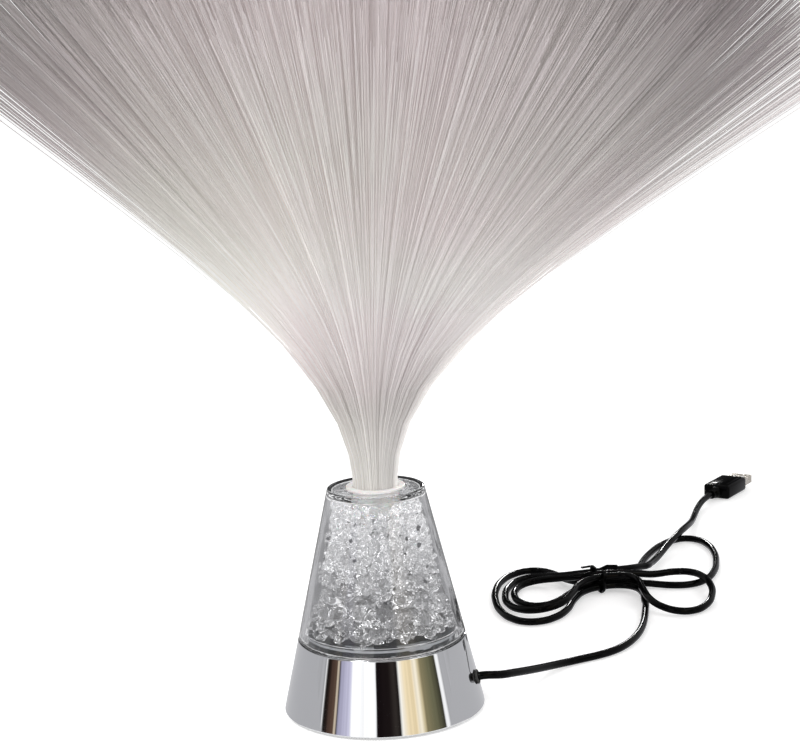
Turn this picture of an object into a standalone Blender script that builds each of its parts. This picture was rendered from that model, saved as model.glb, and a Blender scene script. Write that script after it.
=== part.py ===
"""Fiber optic lamp: a chrome cone with a clear crystal-filled top, a spray of
optical fibres and a USB cord tied in a hank.

Metres, +Z up. The origin is on the table under the lamp's axis, +X is to the
right and the viewer stands towards -Y.
"""

import random
from math import atan2, cos, exp, hypot, pi, radians, sin

import bpy
import bmesh
from mathutils import Matrix, Vector
from mathutils.bvhtree import BVHTree

# Clearances
SEAT_GAP = 0.0003
CUT_OVERRUN = 0.002
MERGE_DISTANCE = 0.00001
SMOOTH_ANGLE = radians(35)

# The cone that the chrome shell and the clear cover share
BASE_RADIUS = 0.0420
CONE_TOP_RADIUS = 0.0201
CONE_HEIGHT = 0.0936
SEAM_HEIGHT = 0.0298
SHELL_LIFT = 0.0012
LARGE_SIDES = 48
MIDDLE_SIDES = 32
SMALL_SIDES = 16
PIN_SIDES = 12

# Chrome shell
SHELL_WALL = 0.0018
SHELL_RIM_WIDTH = 0.0034
SHELL_RIM_THICKNESS = 0.0018
BOSS_RADIUS = 0.0032
SCREW_COUNT = 3
SCREW_START_ANGLE = radians(90)

# Bottom cover, feet and screws
COVER_LIFT = 0.0016
COVER_THICKNESS = 0.0024
FOOT_RADIUS = 0.0040
FOOT_EDGE_WIDTH = 0.0011
FOOT_COUNT = 4
FOOT_START_ANGLE = radians(45)
FOOT_POCKET = 0.0008
SCREW_HEAD_RADIUS = 0.0024
SCREW_HEAD_HEIGHT = 0.0013
SCREW_SHANK_RADIUS = 0.0013
SCREW_LENGTH = 0.0090
SCREW_SLOT_WIDTH = 0.0007
SCREW_SLOT_DEPTH = 0.0006

# Mode button under the lamp
BUTTON_PLACE = (0.0, -0.0160)
BUTTON_RADIUS = 0.0045
BUTTON_FLANGE_RADIUS = 0.0056
BUTTON_FLANGE_THICKNESS = 0.0010
BUTTON_STEM_RADIUS = 0.0016
BUTTON_STEM_ENTRY = 0.0010
BUTTON_FLOOR_CLEARANCE = 0.0008
BUTTON_TRAVEL = 0.0010

# Control board
CONTROL_BOARD_SIZE = (0.030, 0.020)
CONTROL_BOARD_PLACE = (0.0, -0.0100)
BOARD_THICKNESS = 0.0014
CONTROL_BOARD_RISE = 0.0068
CONTROL_POST_RADIUS = 0.0018
CHIP_SIZE = (0.0060, 0.0050, 0.0016)
SWITCH_SIDE = 0.0070
SWITCH_HEIGHT = 0.0038

# Plate under the crystals, and what hangs from it
PLATE_THICKNESS = 0.0030
PLATE_PEG_RADIUS = 0.0016
PLATE_PEG_CIRCLE = 0.0115
PLATE_PEG_COUNT = 2
HOLDER_RADIUS = 0.0145
LED_RADIUS = 0.0025
LED_FLANGE_RADIUS = 0.0029
LED_FLANGE_HEIGHT = 0.0010
LED_HEIGHT = 0.0084
SIDE_LED_COUNT = 3
SIDE_LED_CIRCLE = 0.0100
SIDE_LED_START_ANGLE = radians(90)
WIRE_RADIUS = 0.0006
WIRE_SPACING = 0.0024

# Clear cone
CLEAR_WALL = 0.0024
CLEAR_FOOT_HEIGHT = 0.0036
CLEAR_FOOT_WALL = 0.0034
TOP_PLATE_THICKNESS = 0.0030
TOP_EDGE_ROUND = 0.0008
COLLAR_SEAT_DEPTH = 0.0014

# Centre tube and light rod
TUBE_RADIUS = 0.0042
TUBE_WALL = 0.0010
TUBE_SEAT_DEPTH = 0.0010
ROD_TOP_HEIGHT = 0.0560

# Crystals, in rings from the plate up
LARGE_CRYSTAL_RADIUS = 0.0083
MIDDLE_CRYSTAL_RADIUS = 0.0073
SMALL_CRYSTAL_RADIUS = 0.0062
CRYSTAL_RINGS = (
    # count, radius, start angle
    (7, LARGE_CRYSTAL_RADIUS, radians(12)),
    (6, MIDDLE_CRYSTAL_RADIUS, radians(38)),
    (5, SMALL_CRYSTAL_RADIUS, radians(0)),
)
CRYSTAL_ROUGHNESS_SHARE = 0.14
CRYSTAL_SQUASH_SHARE = 0.86
CRYSTAL_SETTLE_STEP = 0.0002
CRYSTAL_SEED = 11

# Fibre head
BUNDLE_RADIUS = 0.0092
COLLAR_WALL = 0.0009
COLLAR_FLANGE_RADIUS = 0.0123
COLLAR_FLANGE_RISE = 0.0006
COLLAR_DEPTH = 0.0100
COLLAR_LIP = 0.0008
SLICE_THICKNESS = 0.0015
HEAD_LIFT = 0.0120

# Fibres
FIBRE_LENGTH = 0.262
FIBRE_SIDE = 0.00075
FIBRE_RINGS = 10
FIBRE_SPREAD = radians(54.5)
FIBRE_SPREAD_LEAN = radians(4.2)
FIBRE_BEND_LENGTH = 0.046
FIBRE_BEND_POWER = 1.12
FIBRE_LEVEL_SHARES = (0.10, 0.26, 0.52, 1.0)
FIBRE_STEPS = 60

# Cord
CORD_RADIUS = 0.00175
CORD_POINT_SPACING = 0.0090
EXIT_ANGLE = radians(-10)
EXIT_HEIGHT = 0.0132
GROMMET_LIP_RADIUS = 0.0031
GROMMET_LIP_THICKNESS = 0.0007
GROMMET_NECK_RADIUS = 0.0025
GROMMET_FLANGE_RADIUS = 0.0036
GROMMET_FLANGE_THICKNESS = 0.0012
GROMMET_WALL_GAP = 0.0005

# Hank: its strands pass the waist three abreast in two layers
STRAND_PITCH = 0.0049
WAIST_CENTRE = (0.1090, 0.1515)
WAIST_ANGLE = radians(12)
TIE_LIFT = 0.0017

# Twist tie
TIE_RADIUS = 0.0006
TIE_CLEARANCE = 0.0006
TIE_OFFSET = 0.0030
TIE_CORNER = 0.0030
TIE_END_LENGTH = 0.0075
TIE_END_RISE = 0.0016

# Route of the cord, by hand: x, y, z. The hank is one loose length that goes
# round three left lobes and two right ones and lies on itself in long low humps
LEAD_ROUTE = (
    (0.0464, -0.0056, 0.01306), (0.0521, 0.0000, 0.01161), (0.0581, 0.0082, 0.00940),
    (0.0642, 0.0177, 0.00688), (0.0705, 0.0273, 0.00450), (0.0768, 0.0355, 0.00270),
    (0.0835, 0.0412, 0.00192), (0.0905, 0.0449, 0.00192), (0.0976, 0.0490, 0.00192),
    (0.1045, 0.0548, 0.00192), (0.1098, 0.0620, 0.00192), (0.1140, 0.0701, 0.00192),
    (0.1175, 0.0793, 0.00192), (0.1203, 0.0897, 0.00192), (0.1224, 0.1008, 0.00192),
    (0.1242, 0.1122, 0.00192),
)
HANK_ROUTE = (
    (0.1254, 0.1237, 0.00196), (0.1256, 0.1384, 0.00252), (0.1226, 0.1450, 0.00304),
    (0.1165, 0.1475, 0.00339), (0.1065, 0.1459, 0.00345), (0.0980, 0.1407, 0.00310),
    (0.0924, 0.1312, 0.00247), (0.0867, 0.1146, 0.00191), (0.0800, 0.1041, 0.00191),
    (0.0728, 0.0995, 0.00193), (0.0661, 0.0999, 0.00192), (0.0604, 0.1051, 0.00192),
    (0.0559, 0.1166, 0.00192), (0.0540, 0.1342, 0.00192), (0.0551, 0.1521, 0.00192),
    (0.0594, 0.1686, 0.00192), (0.0658, 0.1791, 0.00192), (0.0726, 0.1836, 0.00191),
    (0.0790, 0.1831, 0.00192), (0.0847, 0.1774, 0.00207), (0.0910, 0.1635, 0.00268),
    (0.0962, 0.1571, 0.00316), (0.1035, 0.1555, 0.00344), (0.1162, 0.1585, 0.00331),
    (0.1238, 0.1635, 0.00263), (0.1278, 0.1733, 0.00198), (0.1326, 0.1906, 0.00192),
    (0.1390, 0.2074, 0.00192), (0.1476, 0.2228, 0.00192), (0.1557, 0.2311, 0.00190),
    (0.1619, 0.2327, 0.00190), (0.1669, 0.2295, 0.00192), (0.1706, 0.2203, 0.00192),
    (0.1718, 0.2037, 0.00192), (0.1699, 0.1858, 0.00192), (0.1658, 0.1684, 0.00192),
    (0.1595, 0.1555, 0.00190), (0.1525, 0.1494, 0.00189), (0.1437, 0.1478, 0.00205),
    (0.1283, 0.1511, 0.00278), (0.1137, 0.1524, 0.00342), (0.1023, 0.1494, 0.00338),
    (0.0936, 0.1425, 0.00290), (0.0837, 0.1293, 0.00214), (0.0767, 0.1241, 0.00193),
    (0.0709, 0.1244, 0.00191), (0.0662, 0.1295, 0.00192), (0.0637, 0.1399, 0.00191),
    (0.0651, 0.1514, 0.00203), (0.0692, 0.1582, 0.00253), (0.0749, 0.1599, 0.00348),
    (0.0845, 0.1558, 0.00553), (0.0961, 0.1508, 0.00761), (0.1082, 0.1513, 0.00840),
    (0.1232, 0.1533, 0.00747), (0.1334, 0.1552, 0.00595), (0.1443, 0.1581, 0.00595),
    (0.1515, 0.1560, 0.00619), (0.1567, 0.1497, 0.00597), (0.1593, 0.1384, 0.00486),
    (0.1578, 0.1243, 0.00318), (0.1527, 0.1126, 0.00208), (0.1458, 0.1060, 0.00201),
    (0.1386, 0.1043, 0.00273), (0.1321, 0.1071, 0.00395), (0.1273, 0.1146, 0.00537),
    (0.1251, 0.1286, 0.00679), (0.1238, 0.1418, 0.00770), (0.1201, 0.1466, 0.00813),
    (0.1127, 0.1474, 0.00836), (0.1025, 0.1441, 0.00824), (0.0957, 0.1376, 0.00777),
    (0.0902, 0.1239, 0.00686), (0.0847, 0.1143, 0.00593), (0.0780, 0.1104, 0.00490),
    (0.0709, 0.1111, 0.00381), (0.0646, 0.1163, 0.00288), (0.0601, 0.1267, 0.00221),
    (0.0591, 0.1419, 0.00193), (0.0621, 0.1574, 0.00191), (0.0672, 0.1664, 0.00207),
    (0.0727, 0.1692, 0.00253), (0.0790, 0.1668, 0.00361), (0.0895, 0.1582, 0.00632),
    (0.0984, 0.1553, 0.00790), (0.1106, 0.1567, 0.00839), (0.1217, 0.1619, 0.00749),
    (0.1303, 0.1709, 0.00566),
)
TAIL_ROUTE = (
    (0.1359, 0.1816, 0.00395), (0.1402, 0.1927, 0.00311), (0.1447, 0.2039, 0.00337),
    (0.1497, 0.2147, 0.00452), (0.1553, 0.2252, 0.00579), (0.1605, 0.2360, 0.00616),
    (0.1648, 0.2472, 0.00534), (0.1682, 0.2586, 0.00405), (0.1711, 0.2702, 0.00303),
    (0.1740, 0.2818, 0.00269), (0.1773, 0.2933, 0.00301), (0.1817, 0.3045, 0.00369),
)

# USB plug
PLUG_PLACE = (0.1880, 0.3150)
PLUG_ANGLE = radians(57)
BOOT_LENGTH = 0.0070
BOOT_RADIUS = 0.0027
BOOT_END_RADIUS = 0.0034
OVERMOLD_SIZE = (0.0260, 0.0158, 0.0080)
OVERMOLD_EDGE = 0.0014
OVERMOLD_LIFT = 0.0003
PLUG_SHELL_SIZE = (0.0120, 0.0120, 0.0045)
PLUG_SHELL_WALL = 0.00035
PLUG_WINDOW_SIDE = 0.0024
PLUG_WINDOW_SPACING = 0.0052
PLUG_WINDOW_SETBACK = 0.0062
TONGUE_THICKNESS = 0.0018
TONGUE_SETBACK = 0.0008
CONTACT_COUNT = 4
CONTACT_WIDTH = 0.0011
CONTACT_LENGTH = 0.0080
CONTACT_THICKNESS = 0.0002
CONTACT_SPACING = 0.0023
CONTACT_GAP = 0.00005

# Levels over the table
SEAM_LEVEL = SHELL_LIFT + SEAM_HEIGHT
CONE_TOP_LEVEL = SHELL_LIFT + CONE_HEIGHT
COVER_TOP_LEVEL = COVER_LIFT + COVER_THICKNESS
PLATE_BOTTOM_LEVEL = SEAM_LEVEL + SEAT_GAP
PLATE_TOP_LEVEL = PLATE_BOTTOM_LEVEL + PLATE_THICKNESS
LED_TOP_LEVEL = PLATE_TOP_LEVEL - SEAT_GAP
LED_BOARD_TOP_LEVEL = LED_TOP_LEVEL - LED_HEIGHT - SEAT_GAP
LED_BOARD_BOTTOM_LEVEL = LED_BOARD_TOP_LEVEL - BOARD_THICKNESS
CONTROL_BOARD_LEVEL = COVER_TOP_LEVEL + CONTROL_BOARD_RISE
COLLAR_SEAT_LEVEL = CONE_TOP_LEVEL - COLLAR_SEAT_DEPTH
COLLAR_TOP_LEVEL = CONE_TOP_LEVEL + COLLAR_FLANGE_RISE
COLLAR_BOTTOM_LEVEL = COLLAR_SEAT_LEVEL - COLLAR_DEPTH
COLLAR_BORE_RADIUS = BUNDLE_RADIUS + SEAT_GAP
COLLAR_SLEEVE_RADIUS = COLLAR_BORE_RADIUS + COLLAR_WALL
PLUG_LEVEL = OVERMOLD_LIFT + OVERMOLD_SIZE[2] / 2
CONE_SLOPE = (CONE_TOP_RADIUS - BASE_RADIUS) / CONE_HEIGHT
PART_NAME = "fiber_optic_lamp"


def cone_radius(level):
    """Outer radius of the lamp's cone at a height over the table."""
    return BASE_RADIUS + CONE_SLOPE * (level - SHELL_LIFT)


def shell_inner_radius(level):
    return cone_radius(level) - SHELL_WALL


def clear_inner_radius(level):
    return cone_radius(level) - CLEAR_WALL


def on_circle(radius, angle):
    return radius * cos(angle), radius * sin(angle)


# Scene, collections and materials

def clear_scene():
    for item in list(bpy.data.objects):
        bpy.data.objects.remove(item, do_unlink=True)


def new_collection(name):
    collection = bpy.data.collections.new(name)
    bpy.context.scene.collection.children.link(collection)
    return collection


def new_material(name, color, roughness, metallic=0.0, alpha=1.0):
    material = bpy.data.materials.new(name)
    material.use_nodes = True
    shader = material.node_tree.nodes["Principled BSDF"]
    shader.inputs["Base Color"].default_value = (*color, 1.0)
    shader.inputs["Roughness"].default_value = roughness
    shader.inputs["Metallic"].default_value = metallic
    shader.inputs["Alpha"].default_value = alpha
    material.diffuse_color = (*color, alpha)
    return material


clear_scene()
PARTS = new_collection(PART_NAME)
CUTTERS = new_collection("cutters")

CHROME = new_material("chrome", (0.80, 0.81, 0.83), 0.06, 1.0)
STEEL = new_material("steel", (0.60, 0.60, 0.60), 0.30, 1.0)
NICKEL = new_material("nickel", (0.72, 0.70, 0.64), 0.25, 1.0)
COPPER = new_material("contact_gold", (0.85, 0.65, 0.30), 0.30, 1.0)
BLACK_PLASTIC = new_material("black_plastic", (0.015, 0.015, 0.016), 0.45)
DARK_PLASTIC = new_material("dark_plastic", (0.03, 0.04, 0.045), 0.30)
WHITE_PLASTIC = new_material("white_plastic", (0.85, 0.85, 0.84), 0.40)
RUBBER = new_material("rubber", (0.05, 0.05, 0.05), 0.80)
CORD_PVC = new_material("cord_pvc", (0.012, 0.012, 0.013), 0.35)
CLEAR = new_material("clear_acrylic", (0.90, 0.91, 0.93), 0.05, 0.0, 0.30)
CRYSTAL = new_material("crystal", (0.88, 0.89, 0.92), 0.05, 0.0, 0.55)
FIBRE = new_material("fibre", (0.74, 0.70, 0.70), 0.35)
BOARD = new_material("board_green", (0.03, 0.20, 0.09), 0.50)
LED_RESIN = new_material("led_resin", (0.90, 0.90, 0.88), 0.15, 0.0, 0.60)
RED_PVC = new_material("red_pvc", (0.55, 0.03, 0.03), 0.45)


# Modelling helpers

def add_object(name, data, material, collection=None):
    item = bpy.data.objects.new(name, data)
    (collection or PARTS).objects.link(item)
    if material:
        data.materials.append(material)
    return item


def shade(item):
    item.data.shade_smooth()
    item.data.set_sharp_from_angle(angle=SMOOTH_ANGLE)
    return item


def mesh_from(name, build):
    """A mesh made by the function build, which gets an empty bmesh."""
    work = bmesh.new()
    build(work)
    mesh = bpy.data.meshes.new(name)
    work.to_mesh(mesh)
    work.free()
    return mesh


def turned(name, profile, material, sides=SMALL_SIDES, closed=False, collection=None):
    """A solid of revolution about Z. The profile runs down its outer side, as
    (radius, height) pairs. A closed one is a ring, an open one meets the axis."""
    def build(work):
        points = [work.verts.new((radius, 0.0, height)) for radius, height in profile]
        for first, second in zip(points, points[1:]):
            work.edges.new((first, second))
        if closed:
            work.edges.new((points[-1], points[0]))
    item = add_object(name, mesh_from(name, build), material, collection)
    screw = item.modifiers.new("turn", "SCREW")
    screw.steps = sides
    screw.render_steps = sides
    screw.use_merge_vertices = True
    screw.merge_threshold = MERGE_DISTANCE
    screw.use_smooth_shade = False
    return item


def cylinder(name, radius, low, high, material, at=(0.0, 0.0), sides=SMALL_SIDES,
             collection=None):
    def build(work):
        bmesh.ops.create_cone(work, cap_ends=True, segments=sides, radius1=radius,
                              radius2=radius, depth=high - low)
    item = add_object(name, mesh_from(name, build), material, collection)
    item.location = (at[0], at[1], (low + high) / 2)
    return item


def box(name, size, centre, material, edge=0.0, collection=None):
    def build(work):
        bmesh.ops.create_cube(work, size=1.0)
        bmesh.ops.scale(work, vec=size, verts=work.verts)
    item = add_object(name, mesh_from(name, build), material, collection)
    item.location = centre
    if edge:
        bevel = item.modifiers.new("edge", "BEVEL")
        bevel.width = edge
        bevel.segments = 2
    return item


def combine(item, tool, operation):
    boolean = item.modifiers.new(operation.lower(), "BOOLEAN")
    boolean.object = tool
    boolean.operation = operation
    boolean.solver = "EXACT"
    tool.hide_render = True
    tool.display_type = "WIRE"


def cut(item, tool):
    combine(item, tool, "DIFFERENCE")


def join(item, tool):
    combine(item, tool, "UNION")


def bored(item, name, radius, low, high, at=(0.0, 0.0)):
    cut(item, cylinder(name, radius, low, high, None, at, collection=CUTTERS))


def tube(name, points, radius, material, resolution=2):
    """A round tube along the points, with closed ends."""
    curve = bpy.data.curves.new(name, "CURVE")
    curve.dimensions = "3D"
    curve.bevel_depth = radius
    curve.bevel_resolution = resolution
    curve.use_fill_caps = True
    spline = curve.splines.new("POLY")
    spline.points.add(len(points) - 1)
    for target, point in zip(spline.points, points):
        target.co = (*point, 1.0)
    return add_object(name, curve, material)


def placed(point, direction):
    """A matrix that takes the Z axis to a direction at a point."""
    turn = Vector(direction).to_track_quat("Z", "Y").to_matrix().to_4x4()
    return Matrix.Translation(point) @ turn


def smooth_route(knots, spacing, before=None, after=None):
    """Points at an even spacing along a Catmull-Rom curve through the knots. The
    points before and after them set the headings at the ends."""
    knots = [Vector(knot) for knot in knots]
    before = Vector(before) if before else 2 * knots[0] - knots[1]
    after = Vector(after) if after else 2 * knots[-1] - knots[-2]
    knots = [before, *knots, after]
    fine = []
    parts = 12
    for last, start, end, later in zip(knots, knots[1:], knots[2:], knots[3:]):
        for part in range(parts):
            t = part / parts
            fine.append(0.5 * (2 * start + (end - last) * t
                        + (2 * last - 5 * start + 4 * end - later) * t ** 2
                        + (3 * start - last - 3 * end + later) * t ** 3))
    fine.append(knots[-2])
    return even_points(fine, spacing=spacing)


def even_points(points, spacing=None, count=None):
    """The same path with its points at even distances."""
    points = [Vector(point) for point in points]
    marks = [0.0]
    for first, second in zip(points, points[1:]):
        marks.append(marks[-1] + (second - first).length)
    if count is None:
        count = max(2, round(marks[-1] / spacing))
    result = []
    place = 0
    for index in range(count + 1):
        target = marks[-1] * index / count
        while place < len(points) - 2 and marks[place + 1] < target:
            place += 1
        span = marks[place + 1] - marks[place]
        result.append(points[place].lerp(points[place + 1], (target - marks[place]) / span))
    return result


def path_length(points):
    return sum((second - first).length for first, second in zip(points, points[1:]))


# Base

def rim_radius():
    """Radius of the opening in the shell's flat inner rim."""
    return shell_inner_radius(SEAM_LEVEL) - SHELL_RIM_WIDTH


def screw_places():
    return [on_circle(rim_radius(), SCREW_START_ANGLE + 2 * pi * index / SCREW_COUNT)
            for index in range(SCREW_COUNT)]


def foot_places():
    circle = cover_radius() - FOOT_EDGE_WIDTH - FOOT_RADIUS
    return [on_circle(circle, FOOT_START_ANGLE + 2 * pi * index / FOOT_COUNT)
            for index in range(FOOT_COUNT)]


def exit_frame():
    """The cord's way out: a point on the shell's outer face and its normal."""
    radius = cone_radius(EXIT_HEIGHT)
    tilt = -atan2(CONE_SLOPE, 1.0)
    normal = Vector((cos(tilt) * cos(EXIT_ANGLE), cos(tilt) * sin(EXIT_ANGLE), sin(tilt)))
    point = Vector((*on_circle(radius, EXIT_ANGLE), EXIT_HEIGHT))
    return point, normal


def make_base_shell():
    rim_level = SEAM_LEVEL - SHELL_RIM_THICKNESS
    profile = [
        (cone_radius(SEAM_LEVEL), SEAM_LEVEL),
        (cone_radius(SHELL_LIFT), SHELL_LIFT),
        (shell_inner_radius(SHELL_LIFT), SHELL_LIFT),
        (shell_inner_radius(rim_level), rim_level),
        (rim_radius(), rim_level),
        (rim_radius(), SEAM_LEVEL),
    ]
    shell = turned("base_shell", profile, CHROME, LARGE_SIDES, closed=True)
    boss_low = COVER_TOP_LEVEL + SEAT_GAP
    boss_high = SEAM_LEVEL - SHELL_RIM_THICKNESS / 2
    places = screw_places()
    for index, place in enumerate(places):
        boss = cylinder(f"boss_{index + 1}", BOSS_RADIUS, boss_low, boss_high, None, place,
                        collection=CUTTERS)
        join(shell, boss)
    for index, place in enumerate(places):
        bored(shell, f"boss_bore_{index + 1}", SCREW_SHANK_RADIUS + SEAT_GAP,
              boss_low - CUT_OVERRUN, COVER_LIFT + SCREW_LENGTH + SCREW_HEAD_HEIGHT, place)
    point, normal = exit_frame()
    hole = cylinder("cord_hole", GROMMET_NECK_RADIUS + SEAT_GAP, -SHELL_WALL - CUT_OVERRUN,
                    CUT_OVERRUN, None, collection=CUTTERS)
    hole.matrix_world = placed(point - normal * SHELL_WALL / 2, normal)
    cut(shell, hole)


def cover_radius():
    return shell_inner_radius(COVER_TOP_LEVEL) - SEAT_GAP


def control_post_places():
    inset = 2 * CONTROL_POST_RADIUS
    half = [side / 2 - inset for side in CONTROL_BOARD_SIZE]
    centre_x, centre_y = CONTROL_BOARD_PLACE
    return [(centre_x + sign_x * half[0], centre_y + sign_y * half[1])
            for sign_x in (-1, 1) for sign_y in (-1, 1)]


def make_bottom_cover():
    cover = cylinder("bottom_cover", cover_radius(), COVER_LIFT, COVER_TOP_LEVEL,
                     BLACK_PLASTIC, sides=LARGE_SIDES)
    for index, place in enumerate(control_post_places()):
        post = cylinder(f"control_post_{index + 1}", CONTROL_POST_RADIUS,
                        COVER_TOP_LEVEL - COVER_THICKNESS / 2, CONTROL_BOARD_LEVEL - SEAT_GAP,
                        None, place, collection=CUTTERS)
        join(cover, post)
    for index, place in enumerate(foot_places()):
        bored(cover, f"foot_pocket_{index + 1}", FOOT_RADIUS + SEAT_GAP,
              COVER_LIFT - CUT_OVERRUN, COVER_LIFT + FOOT_POCKET, place)
    for index, place in enumerate(screw_places()):
        bored(cover, f"screw_hole_{index + 1}", SCREW_SHANK_RADIUS + SEAT_GAP,
              COVER_LIFT - CUT_OVERRUN, COVER_TOP_LEVEL + CUT_OVERRUN, place)
        bored(cover, f"screw_seat_{index + 1}", SCREW_HEAD_RADIUS + SEAT_GAP,
              COVER_LIFT - CUT_OVERRUN, COVER_LIFT + SCREW_HEAD_HEIGHT, place)
    bored(cover, "button_hole", BUTTON_RADIUS + SEAT_GAP, COVER_LIFT - CUT_OVERRUN,
          COVER_TOP_LEVEL + CUT_OVERRUN, BUTTON_PLACE)


def make_feet():
    high = COVER_LIFT + FOOT_POCKET - SEAT_GAP
    for index, place in enumerate(foot_places()):
        cylinder(f"foot_{index + 1}", FOOT_RADIUS, 0.0, high, RUBBER, place)


def make_cover_screws():
    head_top = COVER_LIFT + SCREW_HEAD_HEIGHT - SEAT_GAP
    head_bottom = head_top - SCREW_HEAD_HEIGHT + SEAT_GAP
    tip = COVER_LIFT + SCREW_LENGTH
    profile = [
        (0.0, tip),
        (SCREW_SHANK_RADIUS, tip - SCREW_SHANK_RADIUS),
        (SCREW_SHANK_RADIUS, head_top),
        (SCREW_HEAD_RADIUS, head_top),
        (SCREW_HEAD_RADIUS, head_bottom),
        (0.0, head_bottom),
    ]
    for index, place in enumerate(screw_places()):
        screw = turned(f"cover_screw_{index + 1}", profile, STEEL)
        screw.location = (*place, 0.0)
        arm = 1.2 * SCREW_HEAD_RADIUS
        for turn, sides in enumerate(((arm, SCREW_SLOT_WIDTH), (SCREW_SLOT_WIDTH, arm))):
            slot = box(f"slot_{index + 1}_{turn + 1}", (*sides, 2 * SCREW_SLOT_DEPTH),
                       (*place, head_bottom), None, collection=CUTTERS)
            cut(screw, slot)


# Electronics

def switch_bottom_level():
    return CONTROL_BOARD_LEVEL - SEAT_GAP - SWITCH_HEIGHT


def make_mode_button():
    low = BUTTON_FLOOR_CLEARANCE
    flange_low = COVER_TOP_LEVEL + SEAT_GAP
    flange_high = flange_low + BUTTON_FLANGE_THICKNESS
    profile = [
        (0.0, switch_bottom_level() + BUTTON_STEM_ENTRY),
        (BUTTON_STEM_RADIUS, switch_bottom_level() + BUTTON_STEM_ENTRY),
        (BUTTON_STEM_RADIUS, flange_high),
        (BUTTON_FLANGE_RADIUS, flange_high),
        (BUTTON_FLANGE_RADIUS, flange_low),
        (BUTTON_RADIUS, flange_low),
        (BUTTON_RADIUS, low + BUTTON_FLOOR_CLEARANCE / 2),
        (BUTTON_RADIUS - BUTTON_FLOOR_CLEARANCE / 2, low),
        (0.0, low),
    ]
    button = turned("mode_button", profile, DARK_PLASTIC)
    button.location = (*BUTTON_PLACE, 0.0)


def make_control_board():
    centre_x, centre_y = CONTROL_BOARD_PLACE
    size = (*CONTROL_BOARD_SIZE, BOARD_THICKNESS)
    centre_level = CONTROL_BOARD_LEVEL + BOARD_THICKNESS / 2
    box("control_board", size, (centre_x, centre_y, centre_level), BOARD)
    top = CONTROL_BOARD_LEVEL + BOARD_THICKNESS
    chip_level = top + SEAT_GAP + CHIP_SIZE[2] / 2
    chip_x = centre_x - CONTROL_BOARD_SIZE[0] / 4
    box("controller_chip", CHIP_SIZE, (chip_x, centre_y, chip_level), BLACK_PLASTIC)
    low = switch_bottom_level()
    switch = box("switch_body", (SWITCH_SIDE, SWITCH_SIDE, SWITCH_HEIGHT),
                 (*BUTTON_PLACE, low + SWITCH_HEIGHT / 2), DARK_PLASTIC)
    recess = BUTTON_STEM_ENTRY + BUTTON_TRAVEL + SEAT_GAP
    bored(switch, "switch_recess", BUTTON_STEM_RADIUS + SEAT_GAP, low - CUT_OVERRUN,
          low + recess, BUTTON_PLACE)


def peg_places():
    return [on_circle(PLATE_PEG_CIRCLE, 2 * pi * index / PLATE_PEG_COUNT)
            for index in range(PLATE_PEG_COUNT)]


def side_led_places():
    return [on_circle(SIDE_LED_CIRCLE, SIDE_LED_START_ANGLE + 2 * pi * index / SIDE_LED_COUNT)
            for index in range(SIDE_LED_COUNT)]


def plate_radius():
    return cone_radius(PLATE_TOP_LEVEL) - CLEAR_FOOT_WALL - SEAT_GAP


def make_support_plate():
    plate = cylinder("support_plate", plate_radius(), PLATE_BOTTOM_LEVEL, PLATE_TOP_LEVEL,
                     DARK_PLASTIC, sides=LARGE_SIDES)
    for index, place in enumerate(peg_places()):
        join(plate, cylinder(f"plate_peg_{index + 1}", PLATE_PEG_RADIUS,
                             LED_BOARD_BOTTOM_LEVEL, PLATE_TOP_LEVEL - PLATE_THICKNESS / 2,
                             None, place, collection=CUTTERS))
    for index, place in enumerate([(0.0, 0.0), *side_led_places()]):
        bored(plate, f"led_window_{index}", LED_RADIUS + SEAT_GAP,
              PLATE_BOTTOM_LEVEL - CUT_OVERRUN, PLATE_TOP_LEVEL + CUT_OVERRUN, place)
    bored(plate, "tube_seat", TUBE_RADIUS + SEAT_GAP, PLATE_TOP_LEVEL - TUBE_SEAT_DEPTH,
          PLATE_TOP_LEVEL + CUT_OVERRUN)


def make_led_parts():
    holder = cylinder("led_holder", HOLDER_RADIUS, LED_BOARD_TOP_LEVEL + SEAT_GAP,
                      PLATE_BOTTOM_LEVEL - SEAT_GAP, WHITE_PLASTIC, sides=MIDDLE_SIDES)
    board = cylinder("led_board", HOLDER_RADIUS, LED_BOARD_BOTTOM_LEVEL,
                     LED_BOARD_TOP_LEVEL, BOARD, sides=MIDDLE_SIDES)
    for index, place in enumerate(peg_places()):
        for item in (holder, board):
            bored(item, f"{item.name}_peg_hole_{index + 1}", PLATE_PEG_RADIUS + SEAT_GAP,
                  LED_BOARD_BOTTOM_LEVEL - CUT_OVERRUN, PLATE_TOP_LEVEL, place)
    for index, place in enumerate([(0.0, 0.0), *side_led_places()]):
        bored(holder, f"led_bore_{index}", LED_FLANGE_RADIUS + SEAT_GAP,
              LED_BOARD_TOP_LEVEL - CUT_OVERRUN, PLATE_TOP_LEVEL, place)
    low = LED_BOARD_TOP_LEVEL + SEAT_GAP
    shoulder = LED_TOP_LEVEL - LED_RADIUS
    steps = 4
    dome = [(LED_RADIUS * sin(pi / 2 * step / steps),
             shoulder + LED_RADIUS * cos(pi / 2 * step / steps)) for step in range(steps + 1)]
    profile = dome + [
        (LED_RADIUS, low + LED_FLANGE_HEIGHT),
        (LED_FLANGE_RADIUS, low + LED_FLANGE_HEIGHT),
        (LED_FLANGE_RADIUS, low),
        (0.0, low),
    ]
    turned("led_centre", profile, LED_RESIN, sides=PIN_SIDES)
    for index, place in enumerate(side_led_places()):
        led = turned(f"led_side_{index + 1}", profile, LED_RESIN, sides=PIN_SIDES)
        led.location = (*place, 0.0)


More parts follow.
